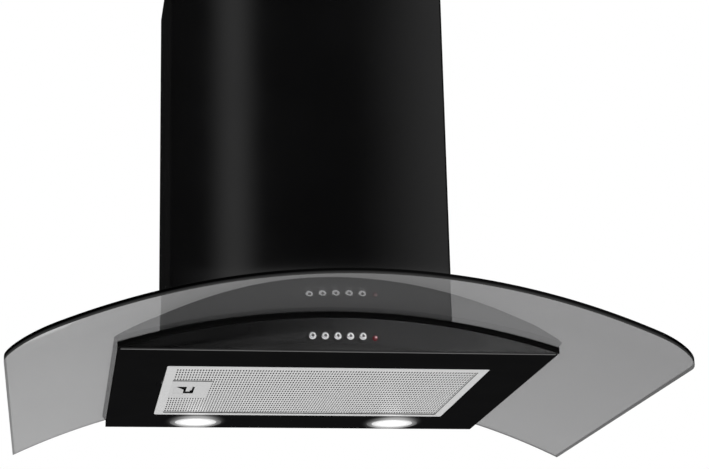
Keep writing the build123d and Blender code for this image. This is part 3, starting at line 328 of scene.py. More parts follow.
@dataclass(frozen=True)
class Paint:
    """Sprayed paint, moulded plastic or rubber, with fine grain and slow clouding."""

    name: str
    colour: Colour
    roughness: float
    specular: float = 0.5
    grain: float = 900.0
    depth: float = 0.00002
    clouding: float = 0.12

    def coat(self, tree: MaterialTree) -> dict[str, object]:
        """Adds the nodes of the coat.

        Args:
            tree: the material's nodes.

        Returns:
            The shader's inputs by name.
        """
        grain = tree.group(grain_effect(), {"Scale": self.grain})
        factors = (1 - self.clouding, 1 + self.clouding)
        return {"Base Color": tree.tones(grain["Cloud"], self.colour, factors),
                "Roughness": tree.rough(grain["Cloud"], self.roughness, factors),
                "Normal": tree.bump(grain["Height"], self.depth),
                "Specular IOR Level": self.specular}

    def make(self) -> Material:
        """Gives the finished material."""
        tree = MaterialTree(self.name)
        return tree.close(tree.principled(self.coat(tree)))


@dataclass(frozen=True)
class LampLitPaint(Paint):
    """Paint near the lit lamps, with a soft spill of their light painted on it as glow."""

    lamps: tuple[Place, ...] = ()
    inner: float = 0.019
    outer: float = 0.035
    squeeze: float = 0.67
    spill: float = 0.36

    def coat(self, tree: MaterialTree) -> dict[str, object]:
        """Adds the nodes of the coat and the spill of light painted on it as glow.

        Args:
            tree: the material's nodes.

        Returns:
            The shader's inputs by name.
        """
        sizes = {"Squeeze": (1.0, self.squeeze, 1.0), "Inner": self.inner, "Outer": self.outer}
        painted_spill_mask: object = 0.0
        for lamp in self.lamps:
            mask = tree.group(halo_effect(), {"Centre": lamp, **sizes})["Mask"]
            painted_spill_mask = tree.math("MAXIMUM", painted_spill_mask, mask)
        # The lamps' light round them is painted on as glow, not cast by them.
        glow = tree.blend(painted_spill_mask, (0.0, 0.0, 0.0), (self.spill, self.spill, self.spill))
        return {**super().coat(tree), "Emission Color": glow, "Emission Strength": 1.0}


@dataclass(frozen=True)
class Metal:
    """Bare metal with drawn lines along one direction."""

    name: str
    colour: Colour
    roughness: float
    stretch: Place
    depth: float = 0.00001
    streak: float = 0.06
    # Share of the colour left on upright faces, painted shade on recess walls and raised edges; 1 leaves them
    # as they are.
    upright: float = 1.0
    # X left of which the metal is painted black as shade, where it shows in the panel's notch; None leaves it
    # as it is.
    black_shade_left_of: float | None = None
    # Height of the normal over which the painted shade of upright faces fades out.
    slope: Span = (0.05, 0.3)
    # Width over which the painted black end fades in, and how dark it is.
    black_fade: float = 0.001
    black_tone: float = 0.02

    def make(self) -> Material:
        """Makes the metal, with painted shade on its upright faces and a left end painted black as shade
        where asked for.

        Returns:
            The material.
        """
        tree = MaterialTree(self.name)
        lines = tree.group(brushed_effect(), {"Stretch": self.stretch})["Lines"]
        colour = tree.tones(lines, self.colour, (1 - self.streak, 1 + self.streak))
        # Upright faces get painted shade: the walls of recesses and raised edges are darkened.
        if self.upright < 1.0:
            normal = tree.add("ShaderNodeNewGeometry").outputs["True Normal"]
            lying = tree.ramp(tree.math("ABSOLUTE", tree.part(normal, "Z")), self.slope)
            colour = tree.blend(lying, shade(self.colour, self.upright), colour)
        # The end left of the given X is painted black as shade.
        if self.black_shade_left_of is not None:
            ends = (self.black_shade_left_of, self.black_shade_left_of + self.black_fade)
            right = tree.ramp(tree.part(tree.place(), "X"), ends)
            colour = tree.blend(right, shade(self.colour, self.black_tone), colour)
        factors = (1 - self.streak, 1 + 2 * self.streak)
        return tree.close(tree.principled({
            "Base Color": colour, "Roughness": tree.rough(lines, self.roughness, factors),
            "Normal": tree.bump(lines, self.depth), "Metallic": 1.0}))


@dataclass(frozen=True)
class Zinc:
    """Galvanised steel sheet with its patches of crystals."""

    name: str
    colour: Colour
    roughness: float
    crystal: float = 60.0
    tones: Span = (0.8, 1.15)
    polish: Span = (0.8, 1.25)

    def make(self) -> Material:
        """Makes the sheet, each patch in a tone of its own.

        Returns:
            The material.
        """
        tree = MaterialTree(self.name)
        cells = tree.add("ShaderNodeTexVoronoi", {"Vector": tree.place(), "Scale": self.crystal})
        tone = tree.add("ShaderNodeSeparateColor", {0: cells.outputs["Color"]}).outputs[0]
        return tree.close(tree.principled({
            "Base Color": tree.tones(tone, self.colour, self.tones),
            "Roughness": tree.rough(tone, self.roughness, self.polish), "Metallic": 1.0}))


@dataclass(frozen=True)
class SmokedGlass:
    """Grey tinted glass with faint traces of handling, a slight sag from front to back and a slight twist."""

    name: str
    colour: Colour
    ior: float
    clarity: float
    roughness: float
    lift: float = 0.0
    sag: float = 0.0
    most: float = 0.0
    twist: float = 0.0
    twist_middle: float = 0.0
    twist_reach: float = 0.21
    front: float = -0.52
    smudge_scale: float = 7.0
    smudge_tint: float = 1.04
    smudge_rough: float = 2.0

    def make(self) -> Material:
        """Makes the glass and leans its normals by the sag and the twist.

        Returns:
            The material.
        """
        tree = MaterialTree(self.name)
        mask = tree.group(smudge_effect(), {"Scale": self.smudge_scale})["Mask"]
        normal = tree.add("ShaderNodeNewGeometry").outputs["Normal"]
        place = tree.place()
        behind = tree.math("SUBTRACT", tree.part(place, "Y"), self.front)
        tilt = tree.math("ADD", tree.math("MULTIPLY", behind, self.sag), self.lift)
        tilt = tree.math("MINIMUM", tilt, self.most)
        aside = tree.math("ABSOLUTE", tree.math("SUBTRACT", tree.part(place, "X"), self.twist_middle))
        spread = tree.math("POWER", tree.math("MINIMUM", aside, self.twist_reach), 2.0)
        tilt = tree.math("ADD", tilt, tree.math("MULTIPLY", spread, self.twist))
        lean = tree.xyz(y=tree.math("MULTIPLY", tree.part(normal, "Z"), tilt))
        return tree.close(tree.principled({
            "Base Color": tree.tones(mask, self.colour, (1.0, self.smudge_tint)),
            "Roughness": tree.rough(mask, self.roughness, (1.0, self.smudge_rough)),
            "Normal": tree.vector("NORMALIZE", tree.vector("ADD", normal, lean)),
            "IOR": self.ior, "Transmission Weight": self.clarity}))


@dataclass(frozen=True)
class GlassRim:
    """Ground edge of the tinted glass, with painted light: lighter along its lower arris and darkest along
    its upper one.
    """

    name: str
    # The upper colour is painted shade and the lower one painted light, not tones of the glass.
    upper: Colour
    lower: Colour
    roughness: float
    specular: float = 0.05
    axis_height: float = 0.0
    radius: float = 1.0
    thickness: float = 0.005
    turn: Span = (0.1, 0.55)
    grain: float = 1500.0
    unevenness: float = 0.1

    def make(self) -> Material:
        """Makes the edge, painted from its lighter lower colour to its dark upper one as light and shade.

        Returns:
            The material.
        """
        tree = MaterialTree(self.name)
        centre = tree.vector("SUBTRACT", tree.place(), (0.0, 0.0, self.axis_height))
        away = tree.vector("LENGTH", tree.vector("MULTIPLY", centre, (1.0, 0.0, 1.0)))
        ends = tuple(self.radius + share * self.thickness for share in self.turn)
        cloud = tree.group(grain_effect(), {"Scale": self.grain})["Cloud"]
        factors = (1 - self.unevenness, 1 + self.unevenness)
        # The edge is painted from light below to dark above.
        return tree.close(tree.principled({
            "Base Color": tree.blend(tree.ramp(away, ends), self.lower, self.upper),
            "Roughness": tree.rough(cloud, self.roughness, factors), "Specular IOR Level": self.specular}))


@dataclass(frozen=True)
class LitLens:
    """Plastic lens with light behind it, brightest at its middle."""

    name: str
    colour: Colour
    glow: Colour
    centre: Place
    radius: float
    strength: float
    core: Span = (0.45, 1.55)
    rest: Colour = (0.05, 0.05, 0.05)
    roughness: float = 0.2
    # Share of the lens colour left at its edge, painted shade towards the rim.
    edge_shade: float = 0.9

    def make(self) -> Material:
        """Makes the lens and the glow in it.

        Returns:
            The material.
        """
        tree = MaterialTree(self.name)
        inner, outer = (share * self.radius for share in self.core)
        sizes = {"Centre": self.centre, "Squeeze": (1.0, 1.0, 1.0), "Inner": inner, "Outer": outer}
        middle = tree.group(halo_effect(), sizes)["Mask"]
        # The lens is painted a little darker towards its edge as shade.
        return tree.close(tree.principled({
            "Base Color": tree.tones(middle, self.colour, (self.edge_shade, 1.0)),
            "Emission Color": tree.blend(middle, self.rest, self.glow),
            "Emission Strength": self.strength, "Roughness": self.roughness}))


Finish = Paint | Metal | Zinc | LitLens


def add_piece(name: str, mesh: Mesh, finishes: Sequence[Material]) -> Piece:
    """Puts a mesh into the scene as a piece.

    Args:
        name: the piece's name.
        mesh: its mesh, in the frame of the solids.
        finishes: its materials in slot order.

    Returns:
        The new object.
    """
    if mesh.materials:
        mesh.materials.clear()
    for finish in finishes:
        mesh.materials.append(finish)
    piece = bpy.data.objects.new(name, mesh)
    bpy.context.scene.collection.objects.link(piece)
    return piece


def dress(finish: Finish, *names: str) -> None:
    """Gives solids their finish.

    Args:
        finish: the finish they share.
        *names: the nodes to dress.
    """
    material = finish.make()
    for name in names:
        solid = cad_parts[name]
        if not solid.material_slots:
            solid.data.materials.append(material)
        for slot in solid.material_slots:
            slot.material = material
        LOG.info("dressed %s with %s", name, material.name)


def flat_mesh(name: str, corners: Sequence[Place]) -> Mesh:
    """Makes a mesh of one face.

    Args:
        name: name of the mesh.
        corners: the corners of the face in order.

    Returns:
        The mesh.
    """
    mesh = bpy.data.meshes.new(name)
    mesh.from_pydata(corners, [], [tuple(range(len(corners)))])
    return mesh


def solids_of(node: str) -> list[list[Vector]]:
    """Splits a node's mesh into its separate solids.

    Args:
        node: the node's name.

    Returns:
        The corner points of each solid.
    """
    work = bmesh.new()
    work.from_mesh(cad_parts[node].data)
    bmesh.ops.remove_doubles(work, verts=work.verts, dist=SAME_POINT)
    seen: set[bmesh.types.BMVert] = set()
    solids: list[list[Vector]] = []
    for vertex in work.verts:
        if vertex in seen:
            continue
        seen.add(vertex)
        queue, points = [vertex], []
        while queue:
            current = queue.pop()
            points.append(current.co.copy())
            for edge in current.link_edges:
                other = edge.other_vert(current)
                if other not in seen:
                    seen.add(other)
                    queue.append(other)
        solids.append(points)
    work.free()
    return solids


def mesh_from(work: bmesh.types.BMesh, name: str, crease: float) -> Mesh:
    """Turns a work mesh into a plain mesh with outward faces and smooth shading.

    Args:
        work: the mesh being built, freed here.
        name: name of the result.
        crease: angle in degrees over which edges stay sharp.

    Returns:
        The plain mesh.
    """
    bmesh.ops.recalc_face_normals(work, faces=work.faces)
    mesh = bpy.data.meshes.new(name)
    work.to_mesh(mesh)
    work.free()
    smooth(mesh, crease)
    return mesh


def smooth(mesh: Mesh, crease: float) -> None:
    """Shades a mesh smooth, apart from edges over an angle in degrees."""
    mesh.shade_smooth()
    mesh.set_sharp_from_angle(angle=math.radians(crease))


def lathe(profile: Sequence[Span], steps: int, place: Matrix, name: str) -> Mesh:
    """Turns a profile round the Z axis into a closed shape.

    Args:
        profile: pairs of radius and height, from the middle of the top to the middle of the bottom.
        steps: corners round the turn.
        place: where the shape goes, with its Z axis as the axis of the turn.
        name: name of the mesh.

    Returns:
        The closed mesh in its place.
    """
    work = bmesh.new()
    rings: list[list[bmesh.types.BMVert]] = []
    for radius, height in profile:
        count = 1 if radius == 0 else steps
        angles = [2 * math.pi * step / count for step in range(count)]
        rings.append([work.verts.new((radius * math.cos(a), radius * math.sin(a), height)) for a in angles])
    for upper, lower in zip(rings, rings[1:]):
        for step in range(steps):
            after = (step + 1) % steps
            corners = [upper[step % len(upper)], upper[after % len(upper)],
                       lower[after % len(lower)], lower[step % len(lower)]]
            work.faces.new(list(dict.fromkeys(corners)))
    bmesh.ops.transform(work, matrix=place, verts=work.verts)
    return mesh_from(work, name, ROUND_CREASE)


class GeometryTree(NamedTree):
    """A geometry tree with named inputs, run once on a start mesh."""

    def __init__(self, name: str, inputs: Mapping[str, Sequence[str]]) -> None:
        """Makes the tree and its sockets.

        Args:
            name: the tree's name.
            inputs: names of the inputs, by Float, Int or Vector.
        """
        sockets = {key: kind for kind, names in inputs.items() for key in names}
        shape = {"Geometry": "Geometry"}
        super().__init__(name, "Geometry", {**shape, **sockets, "Finish": "Material"}, shape)

    def shape(self, kind: str, inputs: Mapping, **settings: object) -> Link:
        """Adds a geometry node and gives its first output."""
        return self.add("GeometryNode" + kind, inputs, **settings).outputs[0]

    def moved(self, shape: Link, **change: object) -> Link:
        """Gives a shape with a translation, rotation or scale."""
        ways = {key.title(): value for key, value in change.items()}
        return self.shape("Transform", {"Geometry": shape, **ways})

    def merge(self, *shapes: Link) -> Link:
        """Gives several shapes as one.

        Args:
            *shapes: outputs with the shapes.

        Returns:
            The output with all of them.
        """
        node = self.add("GeometryNodeJoinGeometry")
        for shape in shapes:
            self.feed(node.inputs[0], shape)
        return node.outputs[0]

    def close(self, shape: Link) -> None:
        """Ends the tree with plain meshes in the given finish.

        Args:
            shape: output with the finished shape.
        """
        real = self.shape("RealizeInstances", {"Geometry": shape})
        coloured = self.shape("SetMaterial", {"Geometry": real, "Material": self.given["Finish"]})
        self.add("NodeGroupOutput", {"Geometry": coloured})

    def run(self, name: str, values: Mapping[str, object],
            start: Mesh | None = None) -> Mesh:
        """Runs the tree and keeps its result as a plain mesh.

        Args:
            name: name of the result.
            values: the tree's inputs by name.
            start: mesh that goes into the tree, if it isn't empty.

        Returns:
            The result as a plain mesh.
        """
        carrier = bpy.data.objects.new(name + "_carrier", start or bpy.data.meshes.new(name + "_start"))
        bpy.context.scene.collection.objects.link(carrier)
        modifier = carrier.modifiers.new("shape", "NODES")
        modifier.node_group = self.tree
        for item in self.tree.interface.items_tree:
            if item.item_type == "SOCKET" and item.in_out == "INPUT" and item.name in values:
                modifier[item.identifier] = values[item.name]
        graph = bpy.context.evaluated_depsgraph_get()
        result = bpy.data.meshes.new_from_object(carrier.evaluated_get(graph), depsgraph=graph)
        result.name = name
        carrier.modifiers.remove(modifier)
        bpy.data.objects.remove(carrier)
        return result


@dataclass
class GlassCanopy:
    """Bent sheet of smoked glass with a bowed front edge and polished rims."""

    radius: float = 0.685
    thickness: float = 0.005
    bow: float = 0.008
    corner: float = 0.045
    notch_half: float = 0.125
    notch_front: float = -0.174
    arris: float = 0.0011
    arris_steps: int = 3
    corner_steps: int = 14
    column: float = 0.008
    row: float = 0.011
    crease: float = 12.0
    face_cosine: float = 0.97
    face: SmokedGlass = SmokedGlass("smoked_glass", (0.374, 0.374, 0.378), 1.3, 0.80, 0.01, lift=0.0124,
                                    sag=0.63, most=0.06, twist=-1.2, twist_middle=-0.04)
    # The rim's light and shade are painted on.
    rim: GlassRim = GlassRim("glass_rim", (0.0005, 0.0005, 0.0005), (0.06, 0.06, 0.06), 0.25)

    def __post_init__(self) -> None:
        """Reads the sheet's outline from its solid."""
        low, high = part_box("glass_canopy")
        self.half, self.front, self.back = high.x, low.y, high.y
        self.axis_height = high.z - self.radius - self.thickness
        self.front_rows = round((self.notch_front - self.front) / self.row)

    def front_edge(self, x: float) -> float:
        """Gives the front outline.

        Args:
            x: place from the middle.

        Returns:
            The outline's Y there.
        """
        bend = (self.half**2 + self.bow**2) / (2 * self.bow)
        centre = self.front + bend
        corner_x = self.half - self.corner
        if abs(x) <= corner_x * bend / (bend - self.corner):
            return centre - math.sqrt(bend**2 - x**2)
        corner_y = centre - math.sqrt((bend - self.corner) ** 2 - corner_x**2)
        return corner_y - math.sqrt(max(self.corner**2 - (abs(x) - corner_x) ** 2, 0.0))

    def columns(self) -> list[float]:
        """Places the columns of the grid, close together at the rounded corners.

        Returns:
            The X of each column.
        """
        corner_x = self.half - self.corner
        turn = [math.pi / 2 * step / self.corner_steps for step in range(1, self.corner_steps + 1)]
        ends = [corner_x + self.corner * math.sin(angle) for angle in turn]
        wing_steps = round((corner_x - self.notch_half) / self.column)
        wing = (corner_x - self.notch_half) / wing_steps
        middle_steps = round(self.notch_half / self.column)
        middle = [self.notch_half * step / middle_steps for step in range(middle_steps)]
        right = middle + [self.notch_half + wing * step for step in range(wing_steps + 1)] + ends
        return [-x for x in reversed(right[1:])] + right

    def sheet(self, work: bmesh.types.BMesh, radius: float) -> dict[tuple[int, int], bmesh.types.BMVert]:
        """Lays one face of the glass as a grid of points.

        Args:
            work: mesh that takes the points.
            radius: radius of this face.

        Returns:
            The points by column and row.
        """
        back_rows = round((self.back - self.notch_front) / self.row)
        points = {}
        for index, x in enumerate(self.columns()):
            height = self.axis_height + math.sqrt(radius**2 - x**2)
            edge = self.front_edge(x)
            depth = self.notch_front - edge
            ys = [edge + depth * row / self.front_rows for row in range(self.front_rows + 1)]
            if abs(x) > self.notch_half - SAME_PLACE:
                step = (self.back - self.notch_front) / back_rows
                ys += [self.notch_front + step * row for row in range(1, back_rows + 1)]
            for row, y in enumerate(ys):
                points[index, row] = work.verts.new((x, y, height))
        return points

    def build(self) -> Piece:
        """Makes the sheet with its two faces, its rim and the small rounding of its edges.

        Returns:
            The sheet.
        """
        work = bmesh.new()
        upper = self.sheet(work, self.radius + self.thickness)
        lower = self.sheet(work, self.radius)
        columns = self.columns()
        for index, row in upper:
            ring = [(index, row), (index + 1, row), (index + 1, row + 1), (index, row + 1)]
            if any(corner not in upper for corner in ring):
                continue
            inner = min(abs(columns[index]), abs(columns[index + 1]))
            if row >= self.front_rows and inner < self.notch_half - SAME_PLACE:
                continue
            work.faces.new([upper[corner] for corner in ring])
            work.faces.new([lower[corner] for corner in reversed(ring)])
        partner = {upper[key]: lower[key] for key in upper}
        sharp = []
        for edge in [edge for edge in work.edges if edge.is_boundary and edge.verts[0] in partner]:
            first, second = edge.verts
            work.faces.new((first, second, partner[second], partner[first]))
            sharp += [edge, work.edges.get((partner[first], partner[second]))]
        bmesh.ops.recalc_face_normals(work, faces=work.faces)
        bmesh.ops.bevel(work, geom=sharp, offset=self.arris, segments=self.arris_steps, profile=0.5,
                        affect="EDGES", clamp_overlap=True)
        for face in work.faces:
            middle = face.calc_center_median()
            outward = Vector((middle.x, 0.0, middle.z - self.axis_height)).normalized()
            face.material_index = 0 if abs(face.normal.dot(outward)) > self.face_cosine else 1
        mesh = mesh_from(work, "glass_sheet", self.crease)
        rim = replace(self.rim, axis_height=self.axis_height, radius=self.radius, thickness=self.thickness)
        piece = add_piece("glass_sheet", mesh, (self.face.make(), rim.make()))
        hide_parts("glass_canopy")
        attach(piece, "hood")
        return piece


@dataclass
class PushButtons:
    """Row of chrome push buttons with rounded rims and a dimple in the middle, painted darker as shade."""

    names: tuple[str, ...] = ("light", "stop", "low", "medium", "high")
    rim: float = 0.0012
    dimple_radius: float = 0.0014
    dimple_depth: float = 0.0009
    steps: int = 40
    curve_steps: int = 8
    finish: Metal = Metal("button_chrome", (0.96, 0.96, 0.97), 0.12, (300.0, 300.0, 300.0), 0.000002, 0.03)
    # The dimple's darker metal is painted shade in its hollow.
    dimple: Metal = Metal("button_dimple", (0.30, 0.30, 0.30), 0.3, (300.0, 300.0, 300.0), 0.000002, 0.03)

    def profile(self, radius: float, length: float) -> list[Span]:
        """Gives half the section of a button.

        Args:
            radius: radius of the button.
            length: its length.

        Returns:
            Radius and height from the middle of the dimple to the middle of the foot.
        """
        dish, edge = [], []
        for step in range(self.curve_steps + 1):
            share = step / self.curve_steps
            depth = self.dimple_depth * (1 + math.cos(math.pi * share)) / 2
            dish.append((self.dimple_radius * share, length - depth))
            angle = math.pi / 2 * share
            inset, drop = 1 - math.sin(angle), 1 - math.cos(angle)
            edge.append((radius - self.rim * inset, length - self.rim * drop))
        return dish + edge + [(radius, 0.0), (0.0, 0.0)]

    def build(self) -> list[Piece]:
        """Makes each button on its own body.

        Returns:
            The buttons in the order of their names.
        """
        finishes = (self.finish.make(), self.dimple.make())
        pieces = []
        for name in self.names:
            node = "button_" + name
            low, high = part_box(node)
            middle = (low + high) / 2
            place = Matrix.Translation((middle.x, high.y, middle.z)) @ Matrix.Rotation(math.pi / 2, 4, "X")
            profile = self.profile((high.x - low.x) / 2, high.y - low.y)
            mesh = lathe(profile, self.steps, place, "knob_" + name)
            for face in mesh.polygons:
                away = math.hypot(face.center.x - middle.x, face.center.z - middle.z)
                face.material_index = 1 if away < self.dimple_radius and face.center.y < middle.y else 0
            piece = add_piece("knob_" + name, mesh, finishes)
            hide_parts(node)
            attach(piece, node)
            pieces.append(piece)
        return pieces


@dataclass
class GreaseFilter:
    """Aluminium filter cassette with sheets full of oval holes on both faces."""

    pitch: float = 0.0027
    row_pitch: float = 0.0106
    hole_width: float = 0.0015
    hole_length: float = 0.0078
    corners: int = 10
    sheet: float = 0.0004
    weld: float = 0.00002
    margin_side: float = 0.002
    margin_end: float = 0.001
    gap_overlap: float = 0.001
    # The frame's upright faces are painted dark as shade in the walls of its recess.
    frame_metal: Metal = Metal("filter_satin", (0.92, 0.92, 0.92), 0.38, (30.0, 900.0, 900.0), 0.000006,
                               upright=0.07)
    face_metal: Metal = Metal("filter_face_satin", (0.97, 0.97, 0.97), 0.36, (30.0, 900.0, 900.0), 0.000006)
    # The latch plate's upright faces are painted dark as shade along its raised edges.
    latch_metal: Metal = Metal("latch_satin", (0.86, 0.86, 0.86), 0.40, (30.0, 900.0, 900.0), 0.000004,
                               upright=0.12)
    # The mesh layers are painted near black as the shade deep in the mesh pack, seen through the holes.
    mesh_shade_metal: Metal = Metal("mesh_layers", (0.05, 0.05, 0.05), 0.45, (500.0, 900.0, 300.0), 0.0002, 0.5)

    def tree(self) -> GeometryTree:
        """Makes the tree that punches rows of oval holes into a sheet.

        Returns:
            The tree.
        """
        tree = GeometryTree("perforated_sheet", {
            "Float": ("Width", "Length", "Pitch", "Row Pitch", "Hole Width", "Hole Length", "Thickness"),
            "Int": ("Hole Corners",),
            "Vector": ("Middle", "Gap Middle", "Gap Half Size")})
        given = tree.given
        sizes = {}
        for axis, whole, pitch in (("X", "Width", "Pitch"), ("Y", "Length", "Row Pitch")):
            count = tree.math("FLOOR", tree.math("DIVIDE", given[whole], given[pitch]))
            sizes["Vertices " + axis] = count
            sizes["Size " + axis] = tree.math("MULTIPLY", tree.math("SUBTRACT", count, 1.0), given[pitch])
        grid = tree.shape("MeshGrid", sizes)
        points = tree.shape("SetPosition", {"Geometry": grid, "Offset": given["Middle"]})
        place = tree.shape("InputPosition", {})
        apart = tree.vector("ABSOLUTE", tree.vector("SUBTRACT", place, given["Gap Middle"]))
        inside = [tree.math("LESS_THAN", tree.part(apart, axis), tree.part(given["Gap Half Size"], axis))
                  for axis in ("X", "Y")]
        kept = tree.shape("DeleteGeometry", {"Geometry": points, "Selection": tree.math("MULTIPLY", *inside)})
        cell = tree.shape("CurvePrimitiveQuadrilateral", {
            "Width": given["Pitch"], "Height": given["Row Pitch"]})
        ring = tree.shape("CurvePrimitiveCircle", {"Resolution": given["Hole Corners"], "Radius": 0.5})
        oval = tree.moved(ring, scale=tree.xyz(given["Hole Width"], given["Hole Length"], 1.0))
        tile = tree.shape("FillCurve", {0: tree.merge(cell, oval)})
        tiles = tree.shape("InstanceOnPoints", {"Points": kept, "Instance": tile})
        flat = tree.shape("RealizeInstances", {"Geometry": tiles})
        joined = tree.shape("MergeByDistance", {"Geometry": flat, "Distance": self.weld})
        raised = tree.shape("ExtrudeMesh", {
            "Mesh": joined, "Offset Scale": given["Thickness"], "Individual": False})
        shell = tree.merge(raised, tree.shape("FlipFaces", {"Mesh": joined}))
        tree.close(tree.shape("MergeByDistance", {"Geometry": shell, "Distance": self.weld}))
        return tree

    def build(self) -> list[Piece]:
        """Makes the two perforated sheets, the face with a gap for the latch plate.

        Returns:
            The face and the back.
        """
        tree = self.tree()
        finish = self.face_metal.make()
        plate_low, plate_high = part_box("latch_plate")
        gap = (plate_high - plate_low) / 2 - Vector((self.gap_overlap, self.gap_overlap, 0.0))
        pieces = []
        for node, half_gap in (("filter_face", tuple(gap)), ("filter_back", (0.0, 0.0, 0.0))):
            name = node + "_sheet"
            low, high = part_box(node)
            middle = (low + high) / 2
            mesh = tree.run(name, {
                "Width": high.x - low.x - 2 * self.margin_side,
                "Length": high.y - low.y - 2 * self.margin_end,
                "Pitch": self.pitch,
                "Row Pitch": self.row_pitch,
                "Hole Width": self.hole_width,
                "Hole Length": self.hole_length,
                "Hole Corners": self.corners,
                "Thickness": self.sheet,
                "Middle": (middle.x, middle.y, low.z),
                "Gap Middle": tuple((plate_low + plate_high) / 2),
                "Gap Half Size": half_gap,
                "Finish": finish,
            })
            piece = add_piece(name, mesh, (finish,))
            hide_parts(node)
            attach(piece, "filter")
            pieces.append(piece)
        return pieces

    def dress(self) -> None:
        """Gives the frame, the latch and the mesh layers their finishes."""
        dress(self.frame_metal, "filter_frame", "filter_hooks")
        dress(self.latch_metal, "latch_plate")
        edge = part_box("filter_frame")[0].x
        # The slide's end past the frame's left edge shows in the panel's notch and is painted black as shade.
        dress(replace(self.latch_metal, name="latch_slide_satin", black_shade_left_of=edge), "latch_slide")
        dress(self.mesh_shade_metal, "filter_mesh")


@dataclass
class LatchSpring:
    """Coil spring of the latch, which on the hood shortens as the slide is pulled; this piece keeps its rest
    length.
    """

    wire: float = 0.0005
    turns: float = 6.0
    turn_steps: int = 32
    wire_corners: int = 10
    finish: Metal = Metal("spring_wire", (0.60, 0.60, 0.61), 0.28, (600.0, 40.0, 600.0))

    @staticmethod
    def tree() -> GeometryTree:
        """Makes the tree that winds a wire into a coil along X.

        Returns:
            The tree.
        """
        tree = GeometryTree("coil_spring", {
            "Float": ("Turns", "Coil Radius", "Length", "Wire Radius"),
            "Int": ("Turn Steps", "Wire Corners"),
            "Vector": ("Start",)})
        given = tree.given
        coil = tree.shape("CurveSpiral", {
            "Resolution": given["Turn Steps"], "Rotations": given["Turns"], "Height": given["Length"],
            "Start Radius": given["Coil Radius"], "End Radius": given["Coil Radius"]})
        section = tree.shape("CurvePrimitiveCircle", {
            "Resolution": given["Wire Corners"], "Radius": given["Wire Radius"]})
        wire = tree.shape("CurveToMesh", {"Curve": coil, "Profile Curve": section, "Fill Caps": True})
        tree.close(tree.moved(wire, translation=given["Start"], rotation=(0.0, math.pi / 2, 0.0)))
        return tree

    def build(self) -> Piece:
        """Makes the coil between the slide and the end of the latch plate.

        Returns:
            The coil.
        """
        low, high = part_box("latch_spring")
        middle = (low + high) / 2
        finish = self.finish.make()
        work = bmesh.new()
        work.from_mesh(self.tree().run("latch_coil", {
            "Turns": self.turns,
            "Turn Steps": self.turn_steps,
            "Coil Radius": (high.z - low.z - self.wire) / 2,
            "Length": high.x - low.x - self.wire,
            "Wire Radius": self.wire / 2,
            "Wire Corners": self.wire_corners,
            "Start": (low.x + self.wire / 2, middle.y, middle.z),
            "Finish": finish,
        }))
        piece = add_piece("latch_coil", mesh_from(work, "latch_coil", ROUND_CREASE), (finish,))
        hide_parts("latch_spring")
        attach(piece, "filter")
        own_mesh(piece)
        return piece


